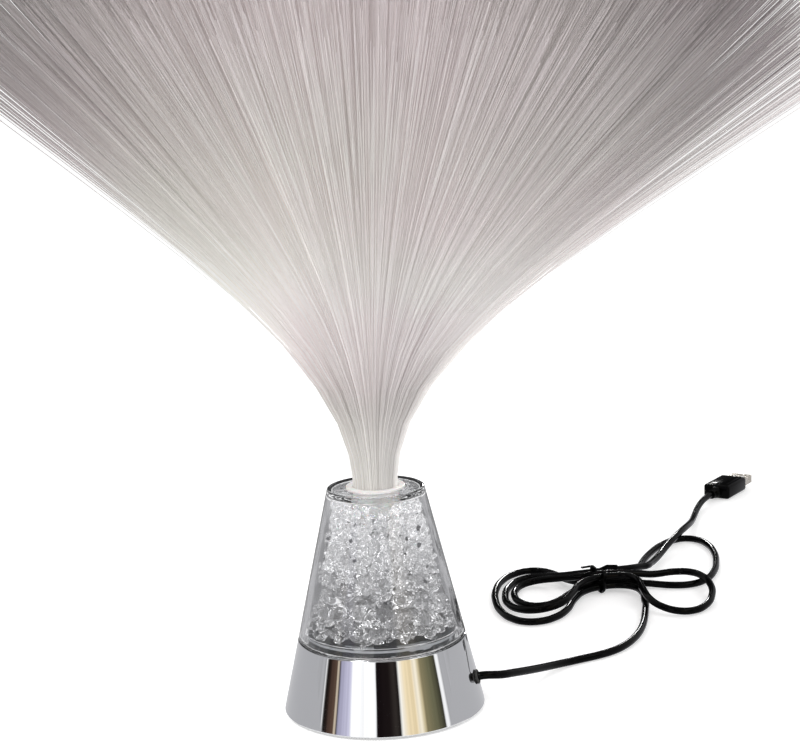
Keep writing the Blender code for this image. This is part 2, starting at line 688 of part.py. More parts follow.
def make_wires():
    low = CONTROL_BOARD_LEVEL + BOARD_THICKNESS + SEAT_GAP
    high = LED_BOARD_BOTTOM_LEVEL - SEAT_GAP
    board_x, board_y = CONTROL_BOARD_PLACE
    quarter = Vector((0.0, 0.0, (high - low) / 4))
    bow = Vector((WIRE_SPACING, 0.0, 0.0))
    for name, side, material in (("wire_positive", 1, RED_PVC), ("wire_negative", -1, CORD_PVC)):
        offset = side * WIRE_SPACING / 2
        start = Vector((board_x + CONTROL_BOARD_SIZE[0] / 3, board_y + offset, low))
        end = Vector((HOLDER_RADIUS / 3, offset, high))
        knots = [start, start + quarter, start.lerp(end, 0.5) + bow, end - quarter, end]
        tube(name, smooth_route(knots, WIRE_SPACING), WIRE_RADIUS, material, 1)


# Clear cone and what stands in it

def make_clear_cone():
    low = SEAM_LEVEL + SEAT_GAP
    foot_top = low + CLEAR_FOOT_HEIGHT
    plate_low = CONE_TOP_LEVEL - TOP_PLATE_THICKNESS
    seat_radius = COLLAR_FLANGE_RADIUS + SEAT_GAP
    hole_radius = COLLAR_SLEEVE_RADIUS + SEAT_GAP
    profile = [
        (seat_radius, CONE_TOP_LEVEL),
        (cone_radius(CONE_TOP_LEVEL) - TOP_EDGE_ROUND, CONE_TOP_LEVEL),
        (cone_radius(CONE_TOP_LEVEL - TOP_EDGE_ROUND), CONE_TOP_LEVEL - TOP_EDGE_ROUND),
        (cone_radius(low), low),
        (cone_radius(low) - CLEAR_FOOT_WALL, low),
        (cone_radius(foot_top) - CLEAR_FOOT_WALL, foot_top),
        (clear_inner_radius(foot_top), foot_top),
        (clear_inner_radius(plate_low), plate_low),
        (hole_radius, plate_low),
        (hole_radius, COLLAR_SEAT_LEVEL),
        (seat_radius, COLLAR_SEAT_LEVEL),
    ]
    turned("clear_cone", profile, CLEAR, LARGE_SIDES, closed=True)


def make_centre_tube():
    low = PLATE_TOP_LEVEL - TUBE_SEAT_DEPTH + SEAT_GAP
    high = COLLAR_BOTTOM_LEVEL - SEAT_GAP
    inner = TUBE_RADIUS - TUBE_WALL
    profile = [(TUBE_RADIUS, high), (TUBE_RADIUS, low), (inner, low), (inner, high)]
    turned("centre_tube", profile, CLEAR, sides=24, closed=True)
    radius = inner - SEAT_GAP
    steps = 4
    shoulder = SHELL_LIFT + ROD_TOP_HEIGHT - radius
    dome = [(radius * sin(pi / 2 * step / steps), shoulder + radius * cos(pi / 2 * step / steps))
            for step in range(steps + 1)]
    bottom = LED_TOP_LEVEL + SEAT_GAP
    turned("light_rod", dome + [(radius, bottom), (0.0, bottom)], CLEAR)


def crystal_mesh(name, radius, dice, grow=0.0):
    """A lump with flat facets. The points of its ball move in or out a little."""
    def build(work):
        bmesh.ops.create_icosphere(work, subdivisions=1, radius=radius)
        turn = Matrix.Rotation(dice.uniform(0, 2 * pi), 3,
                               Vector((dice.gauss(0, 1), dice.gauss(0, 1), dice.gauss(0, 1))))
        squash = dice.uniform(CRYSTAL_SQUASH_SHARE, 1)
        for vertex in work.verts:
            vertex.co *= 1 - dice.uniform(0, CRYSTAL_ROUGHNESS_SHARE)
            vertex.co = turn @ vertex.co
            vertex.co.z *= squash
            vertex.co += vertex.co.normalized() * grow
        bmesh.ops.triangulate(work, faces=work.faces)
    return mesh_from(name, build)


def mesh_tree(mesh, place, grow):
    points = [vertex.co + place + vertex.co.normalized() * grow for vertex in mesh.vertices]
    return BVHTree.FromPolygons(points, [tuple(face.vertices) for face in mesh.polygons])


def reach_out(mesh):
    """How far the lump goes from its centre, sideways and down."""
    return (max(hypot(vertex.co.x, vertex.co.y) for vertex in mesh.vertices),
            max(-vertex.co.z for vertex in mesh.vertices))


def settle(mesh, angle, settled):
    """Slide a lump down the cone's wall till it meets the plate or another lump."""
    side, down = reach_out(mesh)
    level = PLATE_TOP_LEVEL + SEAT_GAP + down
    high = level
    for _, other_level, other_radius in settled:
        high = max(high, other_level + other_radius + side + SEAT_GAP)

    def place_at(height):
        wall = min(clear_inner_radius(height + side), clear_inner_radius(height - side))
        radius = max(wall - side - SEAT_GAP, TUBE_RADIUS + side + SEAT_GAP)
        return Vector((*on_circle(radius, angle), height))

    trees = [tree for tree, _, _ in settled]
    height = high
    while height - CRYSTAL_SETTLE_STEP > level:
        tree = mesh_tree(mesh, place_at(height - CRYSTAL_SETTLE_STEP), SEAT_GAP)
        if any(tree.overlap(other) for other in trees):
            break
        height -= CRYSTAL_SETTLE_STEP
    place = place_at(height)
    settled.append((mesh_tree(mesh, place, SEAT_GAP), height, side))
    return place


def make_crystals():
    dice = random.Random(CRYSTAL_SEED)
    settled = []
    number = 0
    for count, radius, start in CRYSTAL_RINGS:
        for index in range(count):
            number += 1
            mesh = crystal_mesh(f"crystal_{number:02d}", radius, dice)
            item = add_object(f"crystal_{number:02d}", mesh, CRYSTAL)
            item.location = settle(mesh, start + 2 * pi * index / count, settled)


# Fibre head

def make_top_collar():
    bottom = COLLAR_BOTTOM_LEVEL
    profile = [
        (COLLAR_BORE_RADIUS, COLLAR_TOP_LEVEL),
        (COLLAR_FLANGE_RADIUS - COLLAR_FLANGE_RISE, COLLAR_TOP_LEVEL),
        (COLLAR_FLANGE_RADIUS, COLLAR_TOP_LEVEL - COLLAR_FLANGE_RISE),
        (COLLAR_FLANGE_RADIUS, COLLAR_SEAT_LEVEL + SEAT_GAP),
        (COLLAR_SLEEVE_RADIUS, COLLAR_SEAT_LEVEL + SEAT_GAP),
        (COLLAR_SLEEVE_RADIUS, bottom),
        (COLLAR_BORE_RADIUS - COLLAR_LIP, bottom),
        (COLLAR_BORE_RADIUS - COLLAR_LIP, bottom + COLLAR_LIP),
        (COLLAR_BORE_RADIUS, bottom + COLLAR_LIP),
    ]
    turned("top_collar", profile, WHITE_PLASTIC, sides=MIDDLE_SIDES, closed=True)


def make_fibre_core():
    low = COLLAR_BOTTOM_LEVEL + COLLAR_LIP + SEAT_GAP
    high = COLLAR_TOP_LEVEL - SLICE_THICKNESS - SEAT_GAP
    cylinder("fibre_core", BUNDLE_RADIUS, low, high, FIBRE, sides=MIDDLE_SIDES)


def fibre_curve(share, angle, length):
    """Offset from the fibre's foot, height and lean at a length along it. The
    lean grows over the bend length and then holds. It is largest towards +X."""
    spread = (FIBRE_SPREAD + FIBRE_SPREAD_LEAN * cos(angle)) * share
    offset = height = lean = 0.0
    step = length / FIBRE_STEPS
    for index in range(FIBRE_STEPS):
        along = (index + 0.5) * step / FIBRE_BEND_LENGTH
        lean = spread * (1 - exp(-along ** FIBRE_BEND_POWER))
        offset += sin(lean) * step
        height += cos(lean) * step
    return offset, height, lean


def make_fibre_spray():
    """Three-sided fibres grown out of every other triangle of a round slice,
    whose rings of corners hold 6, 12, 18 and more."""
    top = COLLAR_TOP_LEVEL
    bottom = top - SLICE_THICKNESS

    def corner_angle(ring, index):
        return 2 * pi * index / (6 * ring)

    def build(work):
        centre = work.verts.new((0.0, 0.0, top))
        rings = [[centre]]
        for ring in range(1, FIBRE_RINGS + 1):
            radius = BUNDLE_RADIUS * ring / FIBRE_RINGS
            rings.append([work.verts.new((*on_circle(radius, corner_angle(ring, index)), top))
                          for index in range(6 * ring)])

        def corner(ring, index):
            return rings[ring][index % len(rings[ring])]

        for ring in range(1, FIBRE_RINGS + 1):
            for sector in range(6):
                for index in range(ring):
                    inner = sector * (ring - 1) + index
                    outer = sector * ring + index
                    wide = (corner(ring - 1, inner), corner(ring, outer),
                            corner(ring, outer + 1))
                    if sector % 2 == 0:
                        grow_fibre(work, wide, ring)
                    else:
                        work.faces.new(wide)
                    if index == ring - 1:
                        continue
                    narrow = (corner(ring - 1, inner), corner(ring, outer + 1),
                              corner(ring - 1, inner + 1))
                    if sector % 2 == 0:
                        work.faces.new(narrow)
                    else:
                        grow_fibre(work, narrow, ring)
        rim = rings[FIBRE_RINGS]
        lower = [work.verts.new((vertex.co.x, vertex.co.y, bottom)) for vertex in rim]
        for index, vertex in enumerate(rim):
            after = (index + 1) % len(rim)
            work.faces.new((vertex, lower[index], lower[after], rim[after]))
        work.faces.new(lower[::-1])

    add_object("fibre_spray", mesh_from("fibre_spray", build), FIBRE)


def grow_fibre(work, corners, ring):
    """Grow a fibre on three corners of the slice."""
    middle = sum((vertex.co for vertex in corners), Vector()) / 3
    angle = atan2(middle.y, middle.x)
    outward = Vector((cos(angle), sin(angle), 0.0))
    sideways = Vector((-sin(angle), cos(angle), 0.0))
    share = (ring - 0.5) / FIBRE_RINGS
    foot = hypot(middle.x, middle.y)
    offsets = []
    for vertex in corners:
        arm = vertex.co - middle
        offsets.append((arm.dot(outward), arm.dot(sideways)))
    size = sum(hypot(*offset) for offset in offsets) / 3
    scale = FIBRE_SIDE / (size * 3 ** 0.5)
    below = list(corners)
    for level in FIBRE_LEVEL_SHARES:
        offset, height, lean = fibre_curve(share, angle, FIBRE_LENGTH * level)
        centre = outward * (foot + offset) + Vector((0.0, 0.0, middle.z + height))
        tilted = outward * cos(lean) - Vector((0.0, 0.0, sin(lean)))
        above = [work.verts.new(centre + (tilted * out + sideways * side) * scale)
                 for out, side in offsets]
        for index in range(3):
            after = (index + 1) % 3
            work.faces.new((below[index], below[after], above[after], above[index]))
        below = above
    work.faces.new(below)


# Cord

def least_gap(points, radius, apart):
    """Least distance between two stretches' surfaces that lie apart on the path."""
    fine = even_points(points, spacing=radius / 2)
    step = path_length(fine) / (len(fine) - 1)
    skip = int(apart / step)
    least = None
    for index, point in enumerate(fine):
        for other in fine[index + skip:]:
            distance = (point - other).length_squared
            if least is None or distance < least:
                least = distance
    return least ** 0.5 - 2 * radius


def joined_route(start, start_heading, route, end, end_heading):
    """Along the route from start to end, straight for a diameter at both."""
    straight = 2 * CORD_RADIUS
    after_start = start + start_heading * straight
    before_end = end - end_heading * straight
    middle = smooth_route([after_start, *route, before_end], CORD_POINT_SPACING,
                          before=start, after=end)
    return [start, *middle, end]


def cord_points():
    point, normal = exit_frame()
    hank = [Vector(place) for place in HANK_ROUTE]
    lead = joined_route(point - normal * SHELL_WALL / 2, normal, LEAD_ROUTE, hank[0],
                        (hank[1] - hank[0]).normalized())
    heading = Vector((cos(PLUG_ANGLE), sin(PLUG_ANGLE), 0.0))
    tail = joined_route(hank[-1], (hank[-1] - hank[-2]).normalized(), TAIL_ROUTE,
                        boot_end(), heading)
    return lead, hank, tail


def trimmed(points, at_start, at_end):
    """The path with a little taken off its ends."""
    points = list(points)
    if at_start:
        points[0] += (points[1] - points[0]).normalized() * at_start
    if at_end:
        points[-1] += (points[-2] - points[-1]).normalized() * at_end
    return points


def make_cord():
    lead, hank, tail = cord_points()
    tube("cord_lead", trimmed(lead, 0.0, SEAT_GAP), CORD_RADIUS, CORD_PVC)
    tube("cord_hank", hank, CORD_RADIUS, CORD_PVC, 1)
    tube("cord_tail", trimmed(tail, SEAT_GAP, SEAT_GAP), CORD_RADIUS, CORD_PVC)
    whole = [*lead, *hank[1:], *tail[1:]]
    print("cord length", round(path_length(whole), 4), "m, points",
          len(lead), len(hank), len(tail))
    print("hank's least gap to itself",
          round(least_gap(hank, CORD_RADIUS, 4 * CORD_RADIUS * 2) * 1000, 3), "mm")
    print("cord's least gap to itself",
          round(least_gap(whole, CORD_RADIUS, 4 * CORD_RADIUS * 2) * 1000, 3), "mm")


def make_twist_tie():
    """A wire round the waist whose two ends cross on top of it."""
    half = STRAND_PITCH + CORD_RADIUS + TIE_CLEARANCE + TIE_RADIUS
    low = TIE_RADIUS + SEAT_GAP / 2 - CORD_RADIUS
    high = TIE_LIFT + STRAND_PITCH + CORD_RADIUS + TIE_CLEARANCE + TIE_RADIUS
    shift = 2.2 * TIE_RADIUS
    corner = TIE_CORNER
    ring = [(half * 0.2, high)]
    steps = 3
    for centre_b, centre_z, start in ((half - corner, high - corner, pi / 2),
                                      (half - corner, low + corner, 0.0),
                                      (corner - half, low + corner, -pi / 2),
                                      (corner - half, high - corner, -pi)):
        for step in range(steps + 1):
            angle = start - pi / 2 * step / steps
            ring.append((centre_b + corner * cos(angle), centre_z + corner * sin(angle)))
    ring.append((-half * 0.2, high))
    last = len(ring) - 1
    points = [Vector((-TIE_OFFSET - shift + 2 * shift * index / last, b, z))
              for index, (b, z) in enumerate(ring)]
    rise = Vector((0.0, 0.0, TIE_END_RISE))
    first_end = points[0] + Vector((-TIE_END_LENGTH, -half * 0.3, TIE_END_RISE))
    last_end = points[-1] + Vector((TIE_END_LENGTH, -half * 0.2, TIE_END_RISE / 2))
    points = [first_end, points[0] + (first_end - points[0]) / 3 + rise / 3, *points,
              points[-1] + (last_end - points[-1]) / 3 + rise / 3, last_end]
    turn = Matrix.Rotation(WAIST_ANGLE, 3, "Z")
    centre = Vector((*WAIST_CENTRE, CORD_RADIUS))
    tube("twist_tie", [turn @ point + centre for point in points], TIE_RADIUS, CORD_PVC, 1)


def make_grommet():
    point, normal = exit_frame()
    bore = CORD_RADIUS + SEAT_GAP
    inner = -SHELL_WALL - GROMMET_WALL_GAP
    profile = [
        (bore, SEAT_GAP + GROMMET_LIP_THICKNESS),
        (GROMMET_LIP_RADIUS - GROMMET_LIP_THICKNESS / 2, SEAT_GAP + GROMMET_LIP_THICKNESS),
        (GROMMET_LIP_RADIUS, SEAT_GAP + GROMMET_LIP_THICKNESS / 2),
        (GROMMET_LIP_RADIUS, SEAT_GAP),
        (GROMMET_NECK_RADIUS, SEAT_GAP),
        (GROMMET_NECK_RADIUS, inner),
        (GROMMET_FLANGE_RADIUS, inner),
        (GROMMET_FLANGE_RADIUS, inner - GROMMET_FLANGE_THICKNESS),
        (bore, inner - GROMMET_FLANGE_THICKNESS),
    ]
    grommet = turned("cord_grommet", profile, RUBBER, closed=True)
    grommet.matrix_world = placed(point, normal)


def make_inner_cord():
    point, normal = exit_frame()
    start = point - normal * (SHELL_WALL / 2 + SEAT_GAP)
    level = CONTROL_BOARD_LEVEL + BOARD_THICKNESS + SEAT_GAP + CORD_RADIUS
    end = Vector((CONTROL_BOARD_PLACE[0] + CONTROL_BOARD_SIZE[0] / 2 - 2 * CORD_RADIUS,
                  CONTROL_BOARD_PLACE[1] + CONTROL_BOARD_SIZE[1] / 4, level))
    knots = [start, start - normal * 4 * CORD_RADIUS,
             start.lerp(end, 0.6), end + Vector((2 * CORD_RADIUS, 0.0, 0.0)), end]
    tube("inner_cord", smooth_route(knots, 2 * CORD_RADIUS), CORD_RADIUS, CORD_PVC)


# USB plug, along its own X axis from the cord's end

def plug_frame():
    place = Vector((*PLUG_PLACE, PLUG_LEVEL))
    return Matrix.Translation(place) @ Matrix.Rotation(PLUG_ANGLE, 4, "Z")


def boot_end():
    return plug_frame() @ Vector((-SEAT_GAP, 0.0, 0.0))


def plug_box(name, size, centre, material, edge=0.0, collection=None):
    item = box(name, size, (0.0, 0.0, 0.0), material, edge, collection)
    item.matrix_world = plug_frame() @ Matrix.Translation(centre)
    return item


def make_plug():
    boot_profile = [
        (0.0, BOOT_LENGTH),
        (BOOT_END_RADIUS, BOOT_LENGTH),
        (BOOT_END_RADIUS, BOOT_LENGTH * 2 / 3),
        (BOOT_RADIUS, BOOT_LENGTH / 2),
        (BOOT_RADIUS, 0.0),
        (0.0, 0.0),
    ]
    boot = turned("plug_boot", boot_profile, BLACK_PLASTIC)
    boot.matrix_world = plug_frame() @ Matrix.Rotation(pi / 2, 4, "Y")
    body_start = BOOT_LENGTH + SEAT_GAP
    length, width, height = OVERMOLD_SIZE
    plug_box("plug_overmold", OVERMOLD_SIZE, (body_start + length / 2, 0.0, 0.0),
             BLACK_PLASTIC, OVERMOLD_EDGE)

    shell_start = body_start + length + SEAT_GAP
    shell_length, shell_width, shell_height = PLUG_SHELL_SIZE
    shell = plug_box("plug_shell", PLUG_SHELL_SIZE,
                     (shell_start + shell_length / 2, 0.0, 0.0), NICKEL)
    cavity_size = (shell_length, shell_width - 2 * PLUG_SHELL_WALL,
                   shell_height - 2 * PLUG_SHELL_WALL)
    cut(shell, plug_box("plug_cavity", cavity_size,
                        (shell_start + PLUG_SHELL_WALL + shell_length / 2, 0.0, 0.0), None,
                        collection=CUTTERS))
    for index, side in enumerate((-1, 1)):
        window = plug_box(f"plug_window_{index + 1}",
                          (PLUG_WINDOW_SIDE, PLUG_WINDOW_SIDE, 2 * shell_height),
                          (shell_start + PLUG_WINDOW_SETBACK, side * PLUG_WINDOW_SPACING / 2,
                           0.0), None, collection=CUTTERS)
        cut(shell, window)

    tongue_start = shell_start + PLUG_SHELL_WALL + SEAT_GAP
    tongue_length = shell_length - PLUG_SHELL_WALL - SEAT_GAP - TONGUE_SETBACK
    tongue_width = cavity_size[1] - 2 * SEAT_GAP
    tongue_low = -shell_height / 2 + PLUG_SHELL_WALL + SEAT_GAP
    plug_box("plug_tongue", (tongue_length, tongue_width, TONGUE_THICKNESS),
             (tongue_start + tongue_length / 2, 0.0, tongue_low + TONGUE_THICKNESS / 2),
             WHITE_PLASTIC)
    contact_level = tongue_low + TONGUE_THICKNESS + CONTACT_GAP + CONTACT_THICKNESS / 2
    contact_x = tongue_start + tongue_length - CONTACT_LENGTH / 2 - TONGUE_SETBACK
    for index in range(CONTACT_COUNT):
        across = (index - (CONTACT_COUNT - 1) / 2) * CONTACT_SPACING
        plug_box(f"plug_contact_{index + 1}",
                 (CONTACT_LENGTH, CONTACT_WIDTH, CONTACT_THICKNESS),
                 (contact_x, across, contact_level), COPPER)


def main():
    make_base_shell()
    make_bottom_cover()
    make_feet()
    make_cover_screws()
    make_mode_button()
    make_control_board()
    make_support_plate()
    make_led_parts()
    make_wires()
    make_clear_cone()
    make_centre_tube()
    make_crystals()
    make_top_collar()
    make_fibre_core()
    make_fibre_spray()
    make_grommet()
    make_inner_cord()
    make_cord()
    make_twist_tie()
    make_plug()


main()
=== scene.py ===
# %% [markdown]
# # Fiber optic lamp
#
# The lamp is a chrome cone with a clear cone on top of it. The clear cone is
# full of crystals, and a spray of optical fibres fans out of its white collar.
# A black USB cord leaves the chrome on the right and is tied in a hank.
#
# The measured parts come first, as a fixed frame. Every piece made below stands
# on it, in metres, with +Z up and the viewer towards -Y.

# %% Load the measured frame
import random
from functools import partial
from math import cos, pi, radians, sin, sqrt

import bmesh
import bpy
from mathutils import Matrix, Vector


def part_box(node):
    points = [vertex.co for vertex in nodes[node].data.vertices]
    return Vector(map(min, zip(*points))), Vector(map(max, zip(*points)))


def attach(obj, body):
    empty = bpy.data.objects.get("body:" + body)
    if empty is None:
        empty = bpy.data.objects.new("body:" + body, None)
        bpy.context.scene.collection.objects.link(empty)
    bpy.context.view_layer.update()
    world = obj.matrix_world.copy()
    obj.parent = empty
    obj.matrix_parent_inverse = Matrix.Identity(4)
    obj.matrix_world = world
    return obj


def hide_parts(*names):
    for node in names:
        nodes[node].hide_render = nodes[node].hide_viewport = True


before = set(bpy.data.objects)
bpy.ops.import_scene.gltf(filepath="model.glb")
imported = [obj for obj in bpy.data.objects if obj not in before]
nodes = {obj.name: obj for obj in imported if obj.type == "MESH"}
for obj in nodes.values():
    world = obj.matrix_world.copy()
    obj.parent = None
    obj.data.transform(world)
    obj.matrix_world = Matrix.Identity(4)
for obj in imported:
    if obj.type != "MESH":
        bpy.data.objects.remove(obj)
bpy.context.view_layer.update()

# %% [markdown]
# ## Camera
#
# The picture was taken from a little above the lamp, which shows as an ellipse
# at the cone's top and another at its foot. The two ellipses' shapes give the
# height and the pitch. The lamp leans in the picture by 2.4 degrees, so the
# camera is rolled by as much rather than the lamp being turned.

# %% Camera
PICTURE_WIDTH = 800
FOCAL_PIXELS = 1993.7
CAMERA_PLACE = (0.01207, -0.800, 0.2909)
CAMERA_PITCH = radians(10.5)
CAMERA_ROLL = radians(-2.37)


def add_object(name, data):
    item = bpy.data.objects.new(name, data)
    bpy.context.scene.collection.objects.link(item)
    return item


camera_data = bpy.data.cameras.new("camera")
camera_data.sensor_width = 36
camera_data.lens = FOCAL_PIXELS / PICTURE_WIDTH * camera_data.sensor_width
camera_data.clip_start = 0.01
camera = add_object("camera", camera_data)
camera.matrix_world = (Matrix.Translation(CAMERA_PLACE)
                       @ Matrix.Rotation(pi / 2 - CAMERA_PITCH, 4, "X")
                       @ Matrix.Rotation(CAMERA_ROLL, 4, "Z"))
bpy.context.scene.camera = camera
bpy.context.scene.view_settings.view_transform = "Standard"
print("lens", round(camera_data.lens, 2), "mm")

# %% [markdown]
# ## Helpers for node trees
#
# Materials and Geometry Nodes are both node trees. These helpers add a node
# with its settings and links, a piece of maths, one range of values turned into
# another, a mix of two colours and a ramp of colours.

# %% Node helpers
def rgba(color):
    return (*color, 1.0)


def grey(level):
    return (level, level, level)


def wire(tree, item, inputs):
    """Fill a node's inputs. Each gets a plain value, another node's output, or a
    node, which stands for its first output."""
    for key, value in inputs.items():
        socket = item.inputs[key.replace("_", " ") if isinstance(key, str) else key]
        if isinstance(value, bpy.types.Node):
            value = value.outputs[0]
        if isinstance(value, bpy.types.NodeSocket):
            tree.links.new(value, socket)
        else:
            socket.default_value = value


def put(tree, kind, inputs=None, **settings):
    """Add a node with its settings and inputs."""
    item = tree.nodes.new(kind)
    for name, value in settings.items():
        setattr(item, name, value)
    wire(tree, item, inputs or {})
    return item


def calc(tree, operation, *values):
    return put(tree, "ShaderNodeMath", dict(enumerate(values)), operation=operation).outputs[0]


def product(tree, first, *others):
    for value in others:
        first = calc(tree, "MULTIPLY", first, value)
    return first


def mapped(tree, value, low, high, to_low=0.0, to_high=1.0):
    """Where the value lies from low to high, as a place from to_low to to_high."""
    return put(tree, "ShaderNodeMapRange", {
        "Value": value, "From Min": low, "From Max": high,
        "To Min": to_low, "To Max": to_high}).outputs[0]


def mixed(tree, share, first, second, blend="MIX"):
    """Two colours, mixed by a share of the second."""
    return put(tree, "ShaderNodeMix", {0: share, 6: first, 7: second},
               data_type="RGBA", blend_type=blend).outputs[2]


def ramp_of(tree, value, *stops):
    """The colour at a value, between stops of a position and a colour each."""
    ramp = put(tree, "ShaderNodeValToRGB", {"Fac": value})
    ends = ramp.color_ramp.elements
    ends[0].position, ends[0].color = stops[0][0], rgba(stops[0][1])
    ends[1].position, ends[1].color = stops[-1][0], rgba(stops[-1][1])
    for position, color in stops[1:-1]:
        ends.new(position).color = rgba(color)
    return ramp.outputs[0]


def object_place(tree):
    """The x, y and z of the point in Object coordinates."""
    place = put(tree, "ShaderNodeTexCoord").outputs["Object"]
    return put(tree, "ShaderNodeSeparateXYZ", {0: place}).outputs


def noise_of(tree, scale, detail=3.0, stretch=(1.0, 1.0, 1.0)):
    place = put(tree, "ShaderNodeTexCoord").outputs["Object"]
    place = put(tree, "ShaderNodeMapping", {"Vector": place, "Scale": stretch})
    return put(tree, "ShaderNodeTexNoise", {
        "Vector": place, "Scale": scale, "Detail": detail}).outputs["Fac"]


# %% [markdown]
# ## Finishes
#
# Moulded plastic, rubber and metal look alike up close: two nearly equal tones
# and two nearly equal roughnesses drift into each other, and a fine grain
# breaks up the highlights. One function makes them all from noise in Object
# coordinates, so the grain stays the same size on every piece.

# %% The common finish
def shader_of(name):
    """A new material, its tree and its Principled shader."""
    material = bpy.data.materials.new(name)
    material.use_nodes = True
    tree = material.node_tree
    return material, tree, tree.nodes["Principled BSDF"]


def bump_of(tree, height, depth):
    return put(tree, "ShaderNodeBump", {"Height": height, "Strength": 1.0, "Distance": depth})


def finish(name, dark, light, rough, drift=60.0, grain=1500.0, depth=0.0, **even):
    """Two tones and two roughnesses that drift, and a grain of a depth in metres."""
    material, tree, shader = shader_of(name)
    tone = mapped(tree, noise_of(tree, drift), 0.35, 0.65)
    wire(tree, shader, {
        "Base Color": mixed(tree, tone, rgba(dark), rgba(light)),
        "Roughness": mapped(tree, noise_of(tree, 4 * drift), 0.3, 0.7, *rough)})
    if depth:
        wire(tree, shader, {"Normal": bump_of(tree, noise_of(tree, grain, 2.0), depth)})
    wire(tree, shader, even)
    return material


# %% [markdown]
# ## The USB cord
#
# The cord shows from end to end: a loose lead, a hank whose loops are tied at
# the waist, and a tail that ends in the plug. It is 1.3 m of 3.5 mm cable. The
# route below is the measured one, with its points closer together in the bends.
# A smooth curve through them with a round bevel is the simplest true cord, and
# its length can be read off it.

# %% The cord's route
CORD_RADIUS = 0.00175
# Each point is given in hundredths of a millimetre.
CORD_LEAD = (
    (3773, -665, 1299), (4109, -725, 1379), (4890, -351, 1250), (5460, 320, 1075),
    (5957, 1042, 881), (6428, 1782, 685), (6905, 2519, 500), (7418, 3237, 334), (8031, 3880, 218),
    (8787, 4358, 189), (9579, 4782, 192), (10293, 5324, 192), (10862, 6015, 192),
    (11302, 6797, 192), (11647, 7626, 192), (11911, 8485, 192), (12111, 9360, 192),
    (12268, 10244, 192), (12407, 11132, 192), (12535, 12020, 183), (12540, 12370, 196),
)
CORD_HANK = (
    (12560, 13840, 252), (12260, 14500, 304), (11650, 14750, 339), (10650, 14590, 345),
    (9800, 14070, 310), (9240, 13120, 247), (8670, 11460, 191), (8000, 10410, 191),
    (7280, 9950, 193), (6610, 9990, 192), (6040, 10510, 192), (5590, 11660, 192),
    (5400, 13420, 192), (5510, 15210, 192), (5940, 16860, 192), (6580, 17910, 192),
    (7260, 18360, 191), (7900, 18310, 192), (8470, 17740, 207), (9100, 16350, 268),
    (9620, 15710, 316), (10350, 15550, 344), (11620, 15850, 331), (12380, 16350, 263),
    (12780, 17330, 198), (13260, 19060, 192), (13900, 20740, 192), (14760, 22280, 192),
    (15570, 23110, 190), (16190, 23270, 190), (16690, 22950, 192), (17060, 22030, 192),
    (17180, 20370, 192), (16990, 18580, 192), (16580, 16840, 192), (15950, 15550, 190),
    (15250, 14940, 189), (14370, 14780, 205), (12830, 15110, 278), (11370, 15240, 342),
    (10230, 14940, 338), (9360, 14250, 290), (8370, 12930, 214), (7670, 12410, 193),
    (7090, 12440, 191), (6620, 12950, 192), (6370, 13990, 191), (6510, 15140, 203),
    (6920, 15820, 253), (7490, 15990, 348), (8450, 15580, 553), (9610, 15080, 761),
    (10820, 15130, 840), (12320, 15330, 747), (13340, 15520, 595), (14430, 15810, 595),
    (15150, 15600, 619), (15670, 14970, 597), (15930, 13840, 486), (15780, 12430, 318),
    (15270, 11260, 208), (14580, 10600, 201), (13860, 10430, 273), (13210, 10710, 395),
    (12730, 11460, 537), (12510, 12860, 679), (12380, 14180, 770), (12010, 14660, 813),
    (11270, 14740, 836), (10250, 14410, 824), (9570, 13760, 777), (9020, 12390, 686),
    (8470, 11430, 593), (7800, 11040, 490), (7090, 11110, 381), (6460, 11630, 288),
    (6010, 12670, 221), (5910, 14190, 193), (6210, 15740, 191), (6720, 16640, 207),
    (7270, 16920, 253), (7900, 16680, 361), (8950, 15820, 632), (9840, 15530, 790),
    (11060, 15670, 839), (12170, 16190, 749), (13030, 17090, 566),
)
CORD_TAIL = (
    (13269, 17340, 515), (13586, 18150, 396), (13901, 18967, 325), (14222, 19784, 311),
    (14559, 20594, 353), (14928, 21385, 442), (15337, 22156, 541), (15738, 22934, 605),
    (16106, 23732, 612), (16421, 24549, 550), (16686, 25381, 459), (16915, 26224, 369),
    (17123, 27074, 300), (17334, 27926, 271), (17560, 28775, 279), (17829, 29610, 315),
    (18157, 30422, 367), (18593, 31181, 430), (18784, 31475, 430),
)

# %% The cord
cord_rubber = finish("cord_rubber", (0.0006, 0.0006, 0.0007), (0.0014, 0.0014, 0.0015),
                     (0.07, 0.11), grain=900.0, depth=0.000002, Specular_IOR_Level=0.06)

cord_route = [tuple(value / 100000 for value in point)
              for point in (*CORD_LEAD, *CORD_HANK, *CORD_TAIL)]
cord_curve = bpy.data.curves.new("usb_cord", "CURVE")
cord_curve.dimensions = "3D"
cord_curve.resolution_u = 5
cord_curve.bevel_depth = CORD_RADIUS
cord_curve.bevel_resolution = 4
cord_curve.use_fill_caps = True
spline = cord_curve.splines.new("BEZIER")
spline.bezier_points.add(len(cord_route) - 1)
for knot, place in zip(spline.bezier_points, cord_route):
    knot.co = place
    knot.handle_left_type = knot.handle_right_type = "AUTO"
cord_curve.materials.append(cord_rubber)
usb_cord = add_object("usb_cord", cord_curve)
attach(usb_cord, "lamp")
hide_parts("cord_lead", "cord_hank", "cord_tail")
print("cord through", len(cord_route), "points")

# %% [markdown]
# ## Floor and light
#
# The floor is pale. For the camera, and for what metal and glass show of it, it
# glows a little besides being lit, so that it comes out white and still keeps
# the lamp's shadow. From below it is clear, so that the underside can be looked
# at. The room is plain soft light.

# %% Floor
WHITE = rgba(grey(1.0))
FLOOR_COLOR, FLOOR_GLOW, FLOOR_RADIUS = rgba(grey(0.80)), 0.45, 6.0

